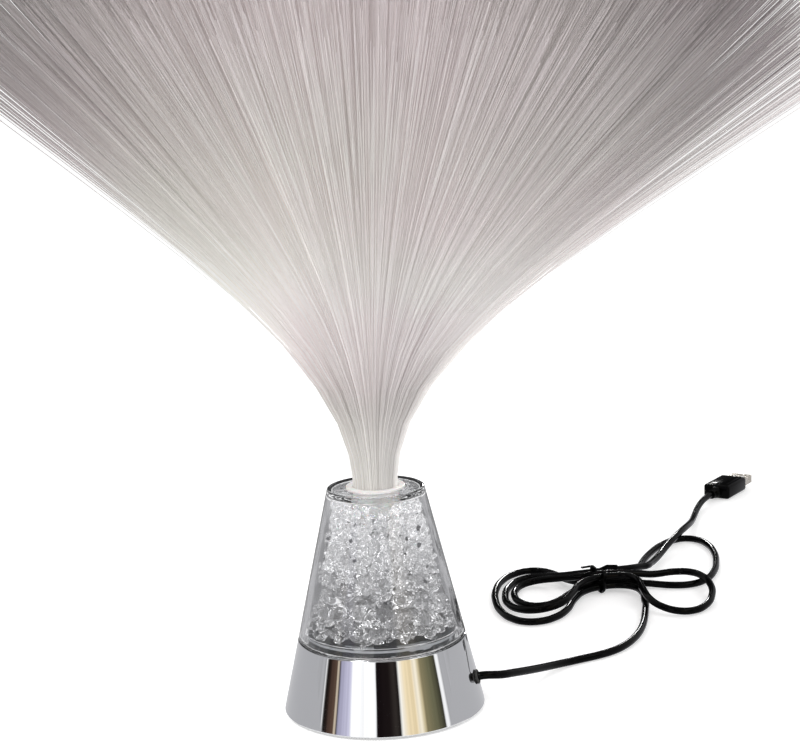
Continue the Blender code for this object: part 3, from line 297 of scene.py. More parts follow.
floor_material, tree, shader = shader_of("floor_paper")
wire(tree, shader, {
    "Base Color": FLOOR_COLOR, "Roughness": 1.0, "Specular IOR Level": 0.0})
path = put(tree, "ShaderNodeLightPath").outputs
seen = calc(tree, "MAXIMUM", path["Is Camera Ray"],
            calc(tree, "MAXIMUM", path["Is Glossy Ray"], path["Is Transmission Ray"]))
pale = put(tree, "ShaderNodeBsdfDiffuse", {"Color": FLOOR_COLOR})
glow = put(tree, "ShaderNodeEmission", {"Color": WHITE, "Strength": FLOOR_GLOW})
lifted = put(tree, "ShaderNodeAddShader", {0: pale, 1: glow})
both = put(tree, "ShaderNodeMixShader", {0: seen, 1: shader, 2: lifted})
open_below = put(tree, "ShaderNodeMixShader", {
    0: put(tree, "ShaderNodeNewGeometry").outputs["Backfacing"], 1: both,
    2: put(tree, "ShaderNodeBsdfTransparent")})
wire(tree, tree.nodes["Material Output"], {"Surface": open_below})


def mesh_object(name, build, material=None, smooth=None):
    """An object from a function that fills a bmesh. Smooth is the widest angle
    between two faces that still look like one."""
    mesh = bpy.data.meshes.new(name)
    work = bmesh.new()
    build(work)
    work.normal_update()
    work.to_mesh(mesh)
    work.free()
    if smooth:
        mesh.shade_smooth()
        mesh.set_sharp_from_angle(angle=smooth)
    if material:
        mesh.materials.append(material)
    return add_object(name, mesh)


floor = mesh_object("floor", lambda work: bmesh.ops.create_circle(
    work, cap_ends=True, segments=64, radius=FLOOR_RADIUS), floor_material)

# %% Light
ROOM_LIGHT = 0.72
LAMP_MIDDLE = (0.0, 0.0, 0.1)

world = bpy.data.worlds.new("room")
bpy.context.scene.world = world
world.use_nodes = True
tree = world.node_tree
path = put(tree, "ShaderNodeLightPath").outputs
seen = calc(tree, "MAXIMUM", path["Is Camera Ray"], path["Is Transmission Ray"])
room = tree.nodes["Background"]
wire(tree, room, {"Color": WHITE, "Strength": ROOM_LIGHT})
white = put(tree, "ShaderNodeBackground", {"Color": WHITE, "Strength": 1.0})
wire(tree, tree.nodes["World Output"], {
    "Surface": put(tree, "ShaderNodeMixShader", {0: seen, 1: room, 2: white})})


def soft_lamp(name, place, target, size, power):
    """A round lamp, with its size across in metres and its power in watts."""
    data = bpy.data.lights.new(name, "AREA")
    data.shape = "DISK"
    data.size = size
    data.energy = power
    item = add_object(name, data)
    heading = (Vector(target) - Vector(place)).to_track_quat("-Z", "Y")
    item.matrix_world = Matrix.Translation(place) @ heading.to_matrix().to_4x4()
    return item


soft_lamp("key_lamp", (-0.9, -1.0, 1.7), LAMP_MIDDLE, 0.7, 14.0)
soft_lamp("fill_lamp", (1.3, -0.8, 1.2), LAMP_MIDDLE, 0.9, 6.0)
soft_lamp("glint_lamp", (-0.5, -1.1, 1.5), LAMP_MIDDLE, 0.09, 4.5)
cord_lamp = soft_lamp("cord_lamp", (0.225, 1.29, 0.35), (0.11, 0.15, 0.0), 0.20, 6.0)
cord_lamp.visible_camera = cord_lamp.visible_transmission = False

# %% [markdown]
# ## A ring of bands for the chrome
#
# Chrome has no look of its own: it shows the room. In the picture the room's
# bands run down the cone, dark, cream and lilac between grey sides. One upright
# ring stands round the lamp, further out than the camera. A colour ramp over the
# angle paints the bands on it, and noise lets their edges wander as in a real
# room. Straight behind the lamp the ring is dark, which keeps the black cord
# black. Grey paper lies on the floor beside and behind the lamp. Only mirrors
# see the ring, and only mirrors and clear plastic see the paper, so they neither
# light the lamp nor shade it.

# %% Ring of bands
RING_DISTANCE, RING_FOOT, RING_TOP = 1.3, -0.35, 0.9
RING_BEHIND, EDGE_WANDER = 0.04, 0.005
GREY = (0.70, 0.70, 0.72)
BANDS = (
    # degrees from the camera towards the right, and the colour there
    (-180.0, GREY), (-80.0, GREY), (-77.0, (0.56, 0.56, 0.58)), (-76.2, grey(1.5)),
    (-75.0, (0.9, 0.88, 0.86)), (-74.2, (0.012, 0.010, 0.010)), (-69.5, (0.030, 0.020, 0.016)),
    (-67.5, (0.11, 0.065, 0.050)), (-60.5, (0.17, 0.105, 0.075)), (-58.8, (1.20, 1.02, 0.78)),
    (-57.0, (0.60, 0.50, 0.42)), (-56.2, (0.02, 0.02, 0.025)), (-54.4, (0.66, 0.64, 0.86)),
    (-40.5, (0.98, 0.96, 1.20)), (-38.0, grey(1.9)), (-10.0, grey(1.85)),
    (-8.6, (0.012, 0.008, 0.009)), (6.0, (0.020, 0.014, 0.014)), (12.5, (0.055, 0.045, 0.040)),
    (17.4, (0.014, 0.010, 0.010)), (18.8, (1.60, 1.58, 1.50)), (26.0, (1.50, 1.25, 0.82)),
    (35.0, (1.28, 1.04, 0.64)), (40.0, (1.70, 1.56, 1.28)), (45.4, (1.00, 0.84, 0.50)),
    (47.4, (0.42, 0.36, 0.20)), (58.0, (0.26, 0.25, 0.145)), (70.5, (0.060, 0.058, 0.040)),
    (72.0, grey(1.7)), (75.5, grey(1.6)), (77.0, GREY), (180.0, GREY),
)


def darker_behind(tree, angle, level):
    """1 round the front and the sides, and a low level straight behind the lamp."""
    return mapped(tree, calc(tree, "ABSOLUTE", angle), radians(150), radians(158), 1.0, level)


def angle_round(tree):
    """The angle round the lamp, from the viewer towards the right."""
    x, y, _ = object_place(tree)
    return calc(tree, "ARCTAN2", x, product(tree, y, -1.0))


def glow_only(tree, color, strength):
    wire(tree, tree.nodes["Material Output"], {"Surface": put(
        tree, "ShaderNodeEmission", {"Color": color, "Strength": strength})})


def arc_band(first, second, start, turn, steps):
    """Faces between two arcs round the lamp, each of a radius and a level."""
    def build(work):
        turns = [radians(start + turn * step / steps) for step in range(steps + 1)]
        above, below = ([work.verts.new((radius * sin(angle), -radius * cos(angle), level))
                         for angle in turns] for radius, level in (first, second))
        for index in range(steps):
            work.faces.new((above[index], below[index], below[index + 1], above[index + 1]))
    return build


def seen_by_mirrors(item, clear_plastic=False):
    """Hide it from all but reflections, and also show it through clear plastic."""
    item.visible_camera = item.visible_diffuse = item.visible_shadow = False
    item.visible_volume_scatter = False
    item.visible_transmission = clear_plastic


ring_paint, tree, _ = shader_of("band_ring")
angle = angle_round(tree)
wander = noise_of(tree, 3.2, 2.0, (1.0, 1.0, 2.4))
share = calc(tree, "ADD", calc(tree, "MULTIPLY_ADD", angle, 1 / (2 * pi), 0.5),
             calc(tree, "MULTIPLY_ADD", wander, 2 * EDGE_WANDER, -EDGE_WANDER))
bands = ramp_of(tree, share, *((turn / 360 + 0.5, color) for turn, color in BANDS))
streak = mapped(tree, noise_of(tree, 14.0, 3.0, (1.0, 1.0, 0.12)), 0.3, 0.7, 0.86, 1.10)
glow_only(tree, bands, product(tree, streak, darker_behind(tree, angle, RING_BEHIND)))
ring_wall = arc_band((RING_DISTANCE, RING_TOP), (RING_DISTANCE, RING_FOOT), 180, 360, 180)
seen_by_mirrors(mesh_object("band_ring", ring_wall, ring_paint))

# %% Grey paper beside and behind the lamp
PAPER_EDGE, PAPER_LEVEL = 0.0424, 0.0004
PAPER_THROUGH_PLASTIC, PAPER_BEHIND = 0.42, 0.45

paper_material, tree, _ = shader_of("grey_paper")
through = put(tree, "ShaderNodeLightPath").outputs["Is Transmission Ray"]
level = mapped(tree, through, 0.0, 1.0, GREY[0], PAPER_THROUGH_PLASTIC)
glow_only(tree, rgba((1.0, 1.0, 1.03)),
          product(tree, level, darker_behind(tree, angle_round(tree), PAPER_BEHIND)))
grey_paper = arc_band((PAPER_EDGE, PAPER_LEVEL), (RING_DISTANCE, PAPER_LEVEL), 60, 240, 48)
seen_by_mirrors(mesh_object("grey_paper", grey_paper, paper_material), clear_plastic=True)
print(len(BANDS), "stops of colour on the ring")

# %% [markdown]
# ## Turned pieces
#
# The shell, the clear cone, the collar, the tube and the rod are all round, so
# each is a profile turned about the lamp's axis. 192 sides keep the chrome's
# reflections smooth, and small radii on the edges catch the light.

# %% Turning a profile
def rounded(profile, radius, steps=3):
    """The closed profile with its corners cut by a small arc. A point beside each
    arc keeps the long faces' normals from turning with it."""
    points = [Vector(point) for point in profile]
    result = []
    for index, point in enumerate(points):
        before, after = points[index - 1], points[(index + 1) % len(points)]
        reach = min(radius, (before - point).length * 0.3, (after - point).length * 0.3)
        back, on = (before - point).normalized() * reach, (after - point).normalized() * reach
        result.append(point + back * 1.5)
        for step in range(steps + 1):
            t = step / steps
            result.append(point + back * (1 - t) ** 2 + on * t * t)
        result.append(point + on * 1.5)
    return [(point.x, point.y) for point in result]


def turned(name, profile, material, sides=192, smooth=radians(28)):
    """Turn a closed profile of radius and height. Points on the axis close it."""
    def build(work):
        rings = []
        for radius, level in profile:
            if radius < 1e-7:
                rings.append([work.verts.new((0.0, 0.0, level))])
                continue
            rings.append([work.verts.new((radius * cos(turn), radius * sin(turn), level))
                          for turn in (2 * pi * side / sides for side in range(sides))])
        for first, second in zip(rings, rings[1:] + rings[:1]):
            if len(first) == len(second) == 1:
                continue
            for side in range(sides):
                after = (side + 1) % sides
                corners = [first[side % len(first)], second[side % len(second)],
                           second[after % len(second)], first[after % len(first)]]
                work.faces.new(list(dict.fromkeys(corners)))
        bmesh.ops.recalc_face_normals(work, faces=work.faces)
    return mesh_object(name, build, material, smooth)


def fit(piece, body, slot, *replaced):
    """Put a piece on a body in place of its measured nodes."""
    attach(piece, body)
    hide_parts(*replaced)
    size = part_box(replaced[0])[1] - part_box(replaced[0])[0]
    print(piece.name, "for", ", ".join(replaced[:3]), "of", [round(side, 4) for side in size])
    return piece


# %% [markdown]
# ## Chrome shell
#
# The shell shows bright chromium, whatever carries it. Chromium sends back a
# little more than half of the light, faintly blue. Plating is never quite flat,
# so the roughness drifts very slightly.

# %% Chrome shell
BASE_RADIUS, CONE_TOP_RADIUS, CONE_HEIGHT = 0.0420, 0.0201, 0.0936
SHELL_LIFT, SEAM_LEVEL, SHELL_WALL = 0.0012, 0.0310, 0.0018
RIM_UNDERSIDE, RIM_WIDTH, SEAT_GAP = 0.0292, 0.0034, 0.0003
CONE_TOP_LEVEL = SHELL_LIFT + CONE_HEIGHT


def cone_radius(level):
    return BASE_RADIUS + (CONE_TOP_RADIUS - BASE_RADIUS) * (level - SHELL_LIFT) / CONE_HEIGHT


chrome = finish("chrome_plating", (0.555, 0.560, 0.572), (0.575, 0.580, 0.590), (0.020, 0.045),
                drift=25.0, Metallic=1.0)
shell_profile = [
    (cone_radius(SEAM_LEVEL), SEAM_LEVEL),
    (cone_radius(SHELL_LIFT), SHELL_LIFT),
    (cone_radius(SHELL_LIFT) - SHELL_WALL, SHELL_LIFT),
    (cone_radius(RIM_UNDERSIDE) - SHELL_WALL, RIM_UNDERSIDE),
    (cone_radius(SEAM_LEVEL) - SHELL_WALL - RIM_WIDTH, RIM_UNDERSIDE),
    (cone_radius(SEAM_LEVEL) - SHELL_WALL - RIM_WIDTH, SEAM_LEVEL),
]
fit(turned("chrome_shell", rounded(shell_profile, 0.00035), chrome), "lamp",
    "chrome", "base_shell")

# %% [markdown]
# ## Clear cone, tube and rod
#
# The cone's wall is slightly wavy, as moulded acrylic is, and has a very faint
# painted glow that brightens it a little. A clear tube stands in the middle,
# with a rod with a domed end in its lower half.

# %% Clear acrylic
CLEAR_WALL, CLEAR_FOOT_WALL, CLEAR_FOOT_HEIGHT = 0.0024, 0.0034, 0.0036
ROOF_LEVEL, HOLE_RADIUS = 0.0918, 0.0107
REBATE_LEVEL, REBATE_RADIUS = 0.0934, 0.0126
TUBE_OUTER, TUBE_INNER, TUBE_FOOT, TUBE_TOP = 0.0042, 0.0032, 0.0336, 0.0831
ROD_RADIUS, ROD_FOOT, ROD_SHOULDER = 0.0029, 0.0343, 0.0543


def clear_finish(name, color, rough, ior, wave=0.0, **even):
    """Clear plastic, its surface waved by a depth in metres where one is given."""
    material, tree, shader = shader_of(name)
    wire(tree, shader, {
        "Base Color": rgba(color), "Transmission Weight": 1.0, "IOR": ior,
        "Roughness": mapped(tree, noise_of(tree, 120.0), 0.0, 1.0, *rough)})
    if wave:
        height = noise_of(tree, 130.0, 2.0, (1.0, 1.0, 0.35))
        wire(tree, shader, {"Normal": bump_of(tree, height, wave)})
    wire(tree, shader, even)
    return material


# The wall's emission is a faint painted glow.
acrylic = clear_finish("clear_acrylic", (0.955, 0.957, 0.963), (0.0, 0.02), 1.38, 0.00030,
                       Emission_Color=(1.0, 1.0, 1.03, 1.0), Emission_Strength=0.006)
seat = SEAM_LEVEL + SEAT_GAP
foot_top = seat + CLEAR_FOOT_HEIGHT
clear_profile = [
    (REBATE_RADIUS, CONE_TOP_LEVEL),
    (cone_radius(CONE_TOP_LEVEL), CONE_TOP_LEVEL),
    (cone_radius(seat), seat),
    (cone_radius(seat) - CLEAR_FOOT_WALL, seat),
    (cone_radius(foot_top) - CLEAR_FOOT_WALL, foot_top),
    (cone_radius(foot_top) - CLEAR_WALL, foot_top),
    (cone_radius(ROOF_LEVEL) - CLEAR_WALL, ROOF_LEVEL),
    (HOLE_RADIUS, ROOF_LEVEL),
    (HOLE_RADIUS, REBATE_LEVEL),
    (REBATE_RADIUS, REBATE_LEVEL),
]
fit(turned("clear_cone_wall", rounded(clear_profile, 0.0007), acrylic), "lamp",
    "clear_acrylic", "clear_cone")

tube_glass = clear_finish("tube_acrylic", (0.86, 0.87, 0.88), (0.0, 0.03), 1.40)
tube_profile = [(TUBE_OUTER, TUBE_TOP), (TUBE_OUTER, TUBE_FOOT),
                (TUBE_INNER, TUBE_FOOT), (TUBE_INNER, TUBE_TOP)]
fit(turned("light_tube", rounded(tube_profile, 0.0002), tube_glass, 64), "lamp",
    "clear_acrylic", "centre_tube")
rod_glass = clear_finish("rod_acrylic", (0.55, 0.56, 0.58), (0.05, 0.15), 1.45)
rod_profile = [(0.0, ROD_FOOT), (ROD_RADIUS, ROD_FOOT), (ROD_RADIUS, ROD_SHOULDER)] + [
    (ROD_RADIUS * cos(radians(turn)), ROD_SHOULDER + ROD_RADIUS * sin(radians(turn)))
    for turn in (15, 30, 45, 60, 75)] + [(0.0, ROD_SHOULDER + ROD_RADIUS)]
fit(turned("dome_rod", rod_profile, rod_glass, 64), "lamp", "clear_acrylic", "light_rod")

# %% [markdown]
# ## Crystals
#
# Crushed clear acrylic fills the cone: rounded lumps low, splinters between and
# above them, and a few thin dark splinters, which are painted dark reflections
# in the crystals. The places are drawn at random in the cone with a fixed seed,
# and refused where two would touch. Geometry Nodes then put a ball on each
# place, of many faces for a lump and of few for a splinter, turn and squash it,
# and dent it by noise.

# %% Places for the crystals
CRYSTAL_TRIES, CRYSTAL_CROWD = 30000, 0.55
CRYSTAL_GAP, CRYSTAL_REACH = 0.0002, 0.9
TUBE_CLEAR, COLLAR_CLEAR, COLLAR_FOOT = 0.0044, 0.0108, 0.0826


def crystal_places(seed, count, sizes, levels, overlap, taken=()):
    """Places and radii that keep clear of the wall, the tube and each other. More
    stand near the wall, where they show. A coarse grid finds the neighbours."""
    dice = random.Random(seed)
    cell = 2 * max(sizes[1], *(size for _, size in taken)) if taken else 2 * sizes[1]
    cells = {}

    def cell_of(place):
        return tuple(int(value // cell) for value in place)

    def keep(place, size):
        cells.setdefault(cell_of(place), []).append((place, size))

    for place, size in taken:
        keep(place, size)
    placed = []
    for _ in range(CRYSTAL_TRIES):
        if len(placed) == count:
            break
        size = dice.uniform(*sizes)
        level = dice.uniform(levels[0] + size * 0.75, levels[1] - size)
        inner = TUBE_CLEAR if level + size < COLLAR_FOOT else COLLAR_CLEAR
        inner += size * CRYSTAL_REACH
        outer = (cone_radius(level + size * 0.5) - CLEAR_WALL - CRYSTAL_GAP
                 - size * CRYSTAL_REACH)
        if outer <= inner:
            continue
        radius = sqrt(inner ** 2 + (outer ** 2 - inner ** 2) * dice.random() ** CRYSTAL_CROWD)
        angle = dice.uniform(0, 2 * pi)
        place = Vector((radius * cos(angle), radius * sin(angle), level))
        x, y, z = cell_of(place)
        near = (item for dx in (-1, 0, 1) for dy in (-1, 0, 1) for dz in (-1, 0, 1)
                for item in cells.get((x + dx, y + dy, z + dz), ()))
        if all((place - other).length > (size + far) * overlap for other, far in near):
            placed.append((place, size))
            keep(place, size)
    return placed


lump_places = crystal_places(5, 84, (0.0044, 0.0070), (0.0343, 0.0640), 0.72)
low_places = crystal_places(8, 190, (0.0018, 0.0042), (0.0343, 0.0480), 0.66, lump_places)
chip_places = low_places + crystal_places(
    9, 760, (0.0013, 0.0034), (0.0540, 0.0915), 0.68, lump_places + low_places)
painted_reflection_places = crystal_places(
    12, 70, (0.0008, 0.0015), (0.0560, 0.0860), 0.55, lump_places + chip_places)
print(len(lump_places), "lumps,", len(chip_places), "chips and", len(painted_reflection_places), "specks")


# %% Tree that grows crystals on the places
def growing_tree(name, inputs):
    """A Geometry Nodes tree with its named inputs, whole numbers and lengths."""
    tree = bpy.data.node_groups.new(name, "GeometryNodeTree")
    tree.is_modifier = True
    tree.interface.new_socket("Geometry", in_out="INPUT", socket_type="NodeSocketGeometry")
    for key, value in inputs.items():
        kind = "NodeSocketInt" if isinstance(value, int) else "NodeSocketFloat"
        tree.interface.new_socket(key, in_out="INPUT", socket_type=kind).default_value = value
    tree.interface.new_socket("Geometry", in_out="OUTPUT", socket_type="NodeSocketGeometry")
    return tree, put(tree, "NodeGroupInput").outputs


def end_tree(tree, geometry, smooth, material):
    shade = put(tree, "GeometryNodeSetShadeSmooth", {
        "Geometry": geometry, "Shade Smooth": smooth})
    real = put(tree, "GeometryNodeRealizeInstances", {0: shade})
    put(tree, "NodeGroupOutput", {
        0: put(tree, "GeometryNodeSetMaterial", {"Geometry": real, "Material": material})})
    return tree


def crystal_tree(name, faces, dent, ripple, smooth, material, thinnest=0.62):
    tree, start = growing_tree(name, {"Dent": dent, "Ripple": ripple, "Seed": 3})
    size = put(tree, "GeometryNodeInputNamedAttribute", {"Name": "size"})

    def dice(low, high):
        return put(tree, "FunctionNodeRandomValue", {0: low, 1: high, "Seed": start["Seed"]},
                   data_type="FLOAT_VECTOR")

    ball = put(tree, "GeometryNodeMeshIcoSphere", {"Radius": 1.0, "Subdivisions": faces})
    squash = dice((thinnest,) * 3, (1.0,) * 3)
    scale = put(tree, "ShaderNodeVectorMath", {0: squash, "Scale": size}, operation="SCALE")
    spin = put(tree, "FunctionNodeEulerToRotation", {0: dice((0.0,) * 3, (6.28,) * 3)})
    points = put(tree, "GeometryNodeInstanceOnPoints", {
        "Points": start["Geometry"], "Instance": ball, "Rotation": spin, "Scale": scale})
    real = put(tree, "GeometryNodeRealizeInstances", {0: points})
    noise = put(tree, "ShaderNodeTexNoise", {"Scale": start["Ripple"], "Detail": 1.0})
    shift = put(tree, "ShaderNodeVectorMath", {0: noise.outputs["Color"], 1: (0.5,) * 3},
                operation="SUBTRACT")
    shift = put(tree, "ShaderNodeVectorMath", {
        0: shift, "Scale": product(tree, start["Dent"], size.outputs[0])}, operation="SCALE")
    dented = put(tree, "GeometryNodeSetPosition", {"Geometry": real, "Offset": shift})
    return end_tree(tree, dented, smooth, material)


def grown(name, base, tree, values=None):
    """Run a tree on a mesh of points and keep the result as a plain mesh."""
    holder = add_object(name + "_holder", base)
    modifier = holder.modifiers.new("grow", "NODES")
    modifier.node_group = tree
    for socket in tree.interface.items_tree:
        if socket.in_out == "INPUT" and values and socket.name in values:
            modifier[socket.identifier] = values[socket.name]
    evaluated = holder.evaluated_get(bpy.context.evaluated_depsgraph_get())
    mesh = bpy.data.meshes.new_from_object(evaluated)
    mesh.name = name
    holder.modifiers.clear()
    bpy.data.objects.remove(holder)
    print(name, "has", sum(len(face.vertices) - 2 for face in mesh.polygons), "triangles")
    return add_object(name, mesh)


def point_cloud(name, placed):
    mesh = bpy.data.meshes.new(name)
    mesh.from_pydata([place for place, _ in placed], [], [])
    sizes = mesh.attributes.new("size", "FLOAT", "POINT")
    sizes.data.foreach_set("value", [size for _, size in placed])
    return mesh


# %% Crystals
def crystal_finish(name, low_painted_glow, high_painted_glow, ior):
    """Clear acrylic with a faint painted glow, more towards the top, that lifts the shade deep
    among the crystals.
    """
    material = clear_finish(name, (0.985, 0.985, 0.99), (0.0, 0.01), ior)
    tree = material.node_tree
    share = mapped(tree, object_place(tree)[2], 0.036, 0.088)
    glow = ramp_of(tree, share, (0.0, (low_painted_glow, low_painted_glow, low_painted_glow * 1.02)),
                   (1.0, (high_painted_glow, high_painted_glow, high_painted_glow * 1.02)))
    # Painted glow: emission that lifts the shade among the crystals.
    wire(tree, tree.nodes["Principled BSDF"], {"Emission Color": glow, "Emission Strength": 1.0})
    return material


lump_glass = crystal_finish("lump_acrylic", 0.010, 0.026, 1.54)
chip_glass = crystal_finish("crushed_acrylic", 0.012, 0.046, 1.49)
# Dark grey splinters: painted dark reflections among the clear crystals.
painted_reflection_glass = clear_finish("painted_reflection_acrylic", (0.16, 0.16, 0.17), (0.0, 0.02), 1.46)
lumps = grown("crystal_lumps", point_cloud("lump_points", lump_places),
              crystal_tree("grow_lumps", 4, 1.0, 150.0, True, lump_glass))
chips = grown("crystal_chips", point_cloud("chip_points", chip_places),
              crystal_tree("grow_chips", 2, 1.1, 520.0, False, chip_glass))
specks = grown("crystal_specks", point_cloud("speck_points", painted_reflection_places),
               crystal_tree("grow_specks", 2, 1.3, 900.0, False, painted_reflection_glass, 0.10))
CRYSTAL_NODES = [f"crystal_{index + 1:02d}" for index in range(18)]
for piece in (lumps, chips, specks):
    fit(piece, "lamp", "crystal", *CRYSTAL_NODES)

# %% [markdown]
# ## White collar
#
# The collar sits in the cone's top and holds the bundle. It is moulded in
# milky white plastic, and has a faint painted glow that lifts the shade of the
# fibres above it.

# %% Collar
BUNDLE_RADIUS = 0.0092
COLLAR_TOP_LEVEL, FLANGE_LEVEL, COLLAR_LOW_LEVEL, LEDGE_LEVEL = 0.0954, 0.0937, 0.0834, 0.0842
COLLAR_BORE, FLANGE_RADIUS, NECK_RADIUS, LEDGE_RADIUS = 0.0095, 0.0123, 0.0104, 0.0087
# Its emission is a painted glow against the shade of the fibres.
milky = finish("milky_plastic", (0.80, 0.79, 0.775), (0.86, 0.85, 0.835), (0.30, 0.42),
               grain=2500.0, depth=0.000015, Subsurface_Weight=0.15, Subsurface_Scale=0.002,
               Emission_Color=(1.0, 0.98, 0.96, 1.0), Emission_Strength=0.02)
collar_profile = [
    (COLLAR_BORE, COLLAR_TOP_LEVEL), (FLANGE_RADIUS, COLLAR_TOP_LEVEL),
    (FLANGE_RADIUS, FLANGE_LEVEL), (NECK_RADIUS, FLANGE_LEVEL), (NECK_RADIUS, COLLAR_LOW_LEVEL),
    (LEDGE_RADIUS, COLLAR_LOW_LEVEL), (LEDGE_RADIUS, LEDGE_LEVEL), (COLLAR_BORE, LEDGE_LEVEL),
]
fit(turned("white_collar", rounded(collar_profile, 0.0004), milky, 96), "fibre_head",
    "white_plastic", "top_collar")

# %% [markdown]
# ## Fibres
#
# Thousands of thin acrylic fibres leave the collar as one bundle and lean away
# from each other, each after a law: the lean grows over the first 46 mm and
# then holds, and it is larger the further out the fibre stands. Geometry Nodes
# follow that law point by point and add up the steps along each fibre.

# %% Tree that grows fibres
FIBRE_COUNT, FIBRE_BUNDLES, FIBRE_STEPS = 2400, 6, 11
FIBRE_LENGTH, FIBRE_DEPTH, SIDE_DRIFT = 0.262, 0.0010, 0.035


def fibre_tree(name, material):
    tree, size = growing_tree(name, {
        "Count": FIBRE_COUNT, "Length": FIBRE_LENGTH, "Bundle Radius": BUNDLE_RADIUS,
        "Spread": radians(54.5), "Lean To Right": radians(4.2), "Bend Length": 0.046,
        "Bend Power": 1.12, "Thin Out Left": 0.8, "Thin Out Right": 0.55,
        "Thickness": 0.00014, "Seed": 1})
    add, sums, times = partial(put, tree), partial(calc, tree), partial(product, tree)

    def dice(low, high, number):
        seed = sums("ADD", times(size["Seed"], 17.0), float(number))
        return add("FunctionNodeRandomValue", {2: low, 3: high, "Seed": seed}).outputs[1]

    def store(geometry, key, value, kind="FLOAT"):
        return add("GeometryNodeStoreNamedAttribute", {
            "Geometry": geometry, "Name": key, "Value": value}, data_type=kind)

    def named(key, kind="FLOAT"):
        return add("GeometryNodeInputNamedAttribute", {"Name": key}, data_type=kind).outputs[0]

    points = add("GeometryNodePoints", {"Count": size["Count"]})
    turned_by = dice(0.0, 2 * pi, 2)
    to_right = sums("MULTIPLY_ADD", sums("COSINE", turned_by), 0.5, 0.5)
    thin = sums("ADD", size["Thin Out Left"], times(
        to_right, sums("SUBTRACT", size["Thin Out Right"], size["Thin Out Left"])))
    rest = sums("POWER", dice(0.0, 1.0, 1), sums("DIVIDE", 1.0, sums("ADD", thin, 1.0)))
    drawn = {"share": sums("SQRT", sums("SUBTRACT", 1.0, rest)), "turn": turned_by,
             "reach": dice(0.985, 1.0, 3), "tone": dice(0.0, 1.0, 4),
             "wander": dice(-1.0, 1.0, 5)}
    for key, value in drawn.items():
        points = store(points, key, value)
    points = store(points, "number", add("GeometryNodeInputIndex"), "INT")
    line = add("GeometryNodeCurvePrimitiveLine", {"End": (0.0, 0.0, 1.0)})
    line = add("GeometryNodeResampleCurve", {"Curve": line, "Count": FIBRE_STEPS + 1})
    lines = add("GeometryNodeInstanceOnPoints", {"Points": points, "Instance": line})
    lines = add("GeometryNodeRealizeInstances", {0: lines})

    share, turn, reach, wander = (named(key) for key in ("share", "turn", "reach", "wander"))
    part = add("GeometryNodeSplineParameter").outputs["Factor"]

    def length_at(value):
        value = sums("POWER", sums("MAXIMUM", value, 0.0), 1.7)
        return times(value, size["Length"], reach)

    here = length_at(part)
    before = length_at(sums("SUBTRACT", part, 1 / FIBRE_STEPS))
    step = sums("SUBTRACT", here, before)
    middle = times(sums("ADD", here, before), 0.5)
    bent = sums("POWER", sums("DIVIDE", middle, size["Bend Length"]), size["Bend Power"])
    bent = sums("SUBTRACT", 1.0, sums("EXPONENT", times(bent, -1.0)))
    spread = sums("MULTIPLY_ADD", sums("COSINE", turn), size["Lean To Right"], size["Spread"])
    lean = times(spread, share, bent)

    def summed(value):
        return add("GeometryNodeAccumulateField", {
            "Value": value, "Group ID": named("number", "INT")}).outputs["Leading"]

    out = summed(times(sums("SINE", lean), step))
    rise = summed(times(sums("COSINE", lean), step))
    radius = sums("ADD", times(size["Bundle Radius"], share), out)
    drift = sums("MULTIPLY_ADD", times(wander, SIDE_DRIFT), part, turn)
    place = add("ShaderNodeCombineXYZ", {
        0: times(radius, sums("COSINE", drift)), 1: times(radius, sums("SINE", drift)),
        2: sums("ADD", rise, COLLAR_TOP_LEVEL - FIBRE_DEPTH)})
    lines = add("GeometryNodeSetPosition", {"Geometry": lines, "Position": place})
    lines = store(lines, "along", sums("DIVIDE", here, size["Length"]))
    ring = add("GeometryNodeCurvePrimitiveCircle", {
        "Resolution": 3, "Radius": size["Thickness"]})
    solid = add("GeometryNodeCurveToMesh", {
        "Curve": lines, "Profile Curve": ring, "Fill Caps": True})
    return end_tree(tree, solid, True, material)


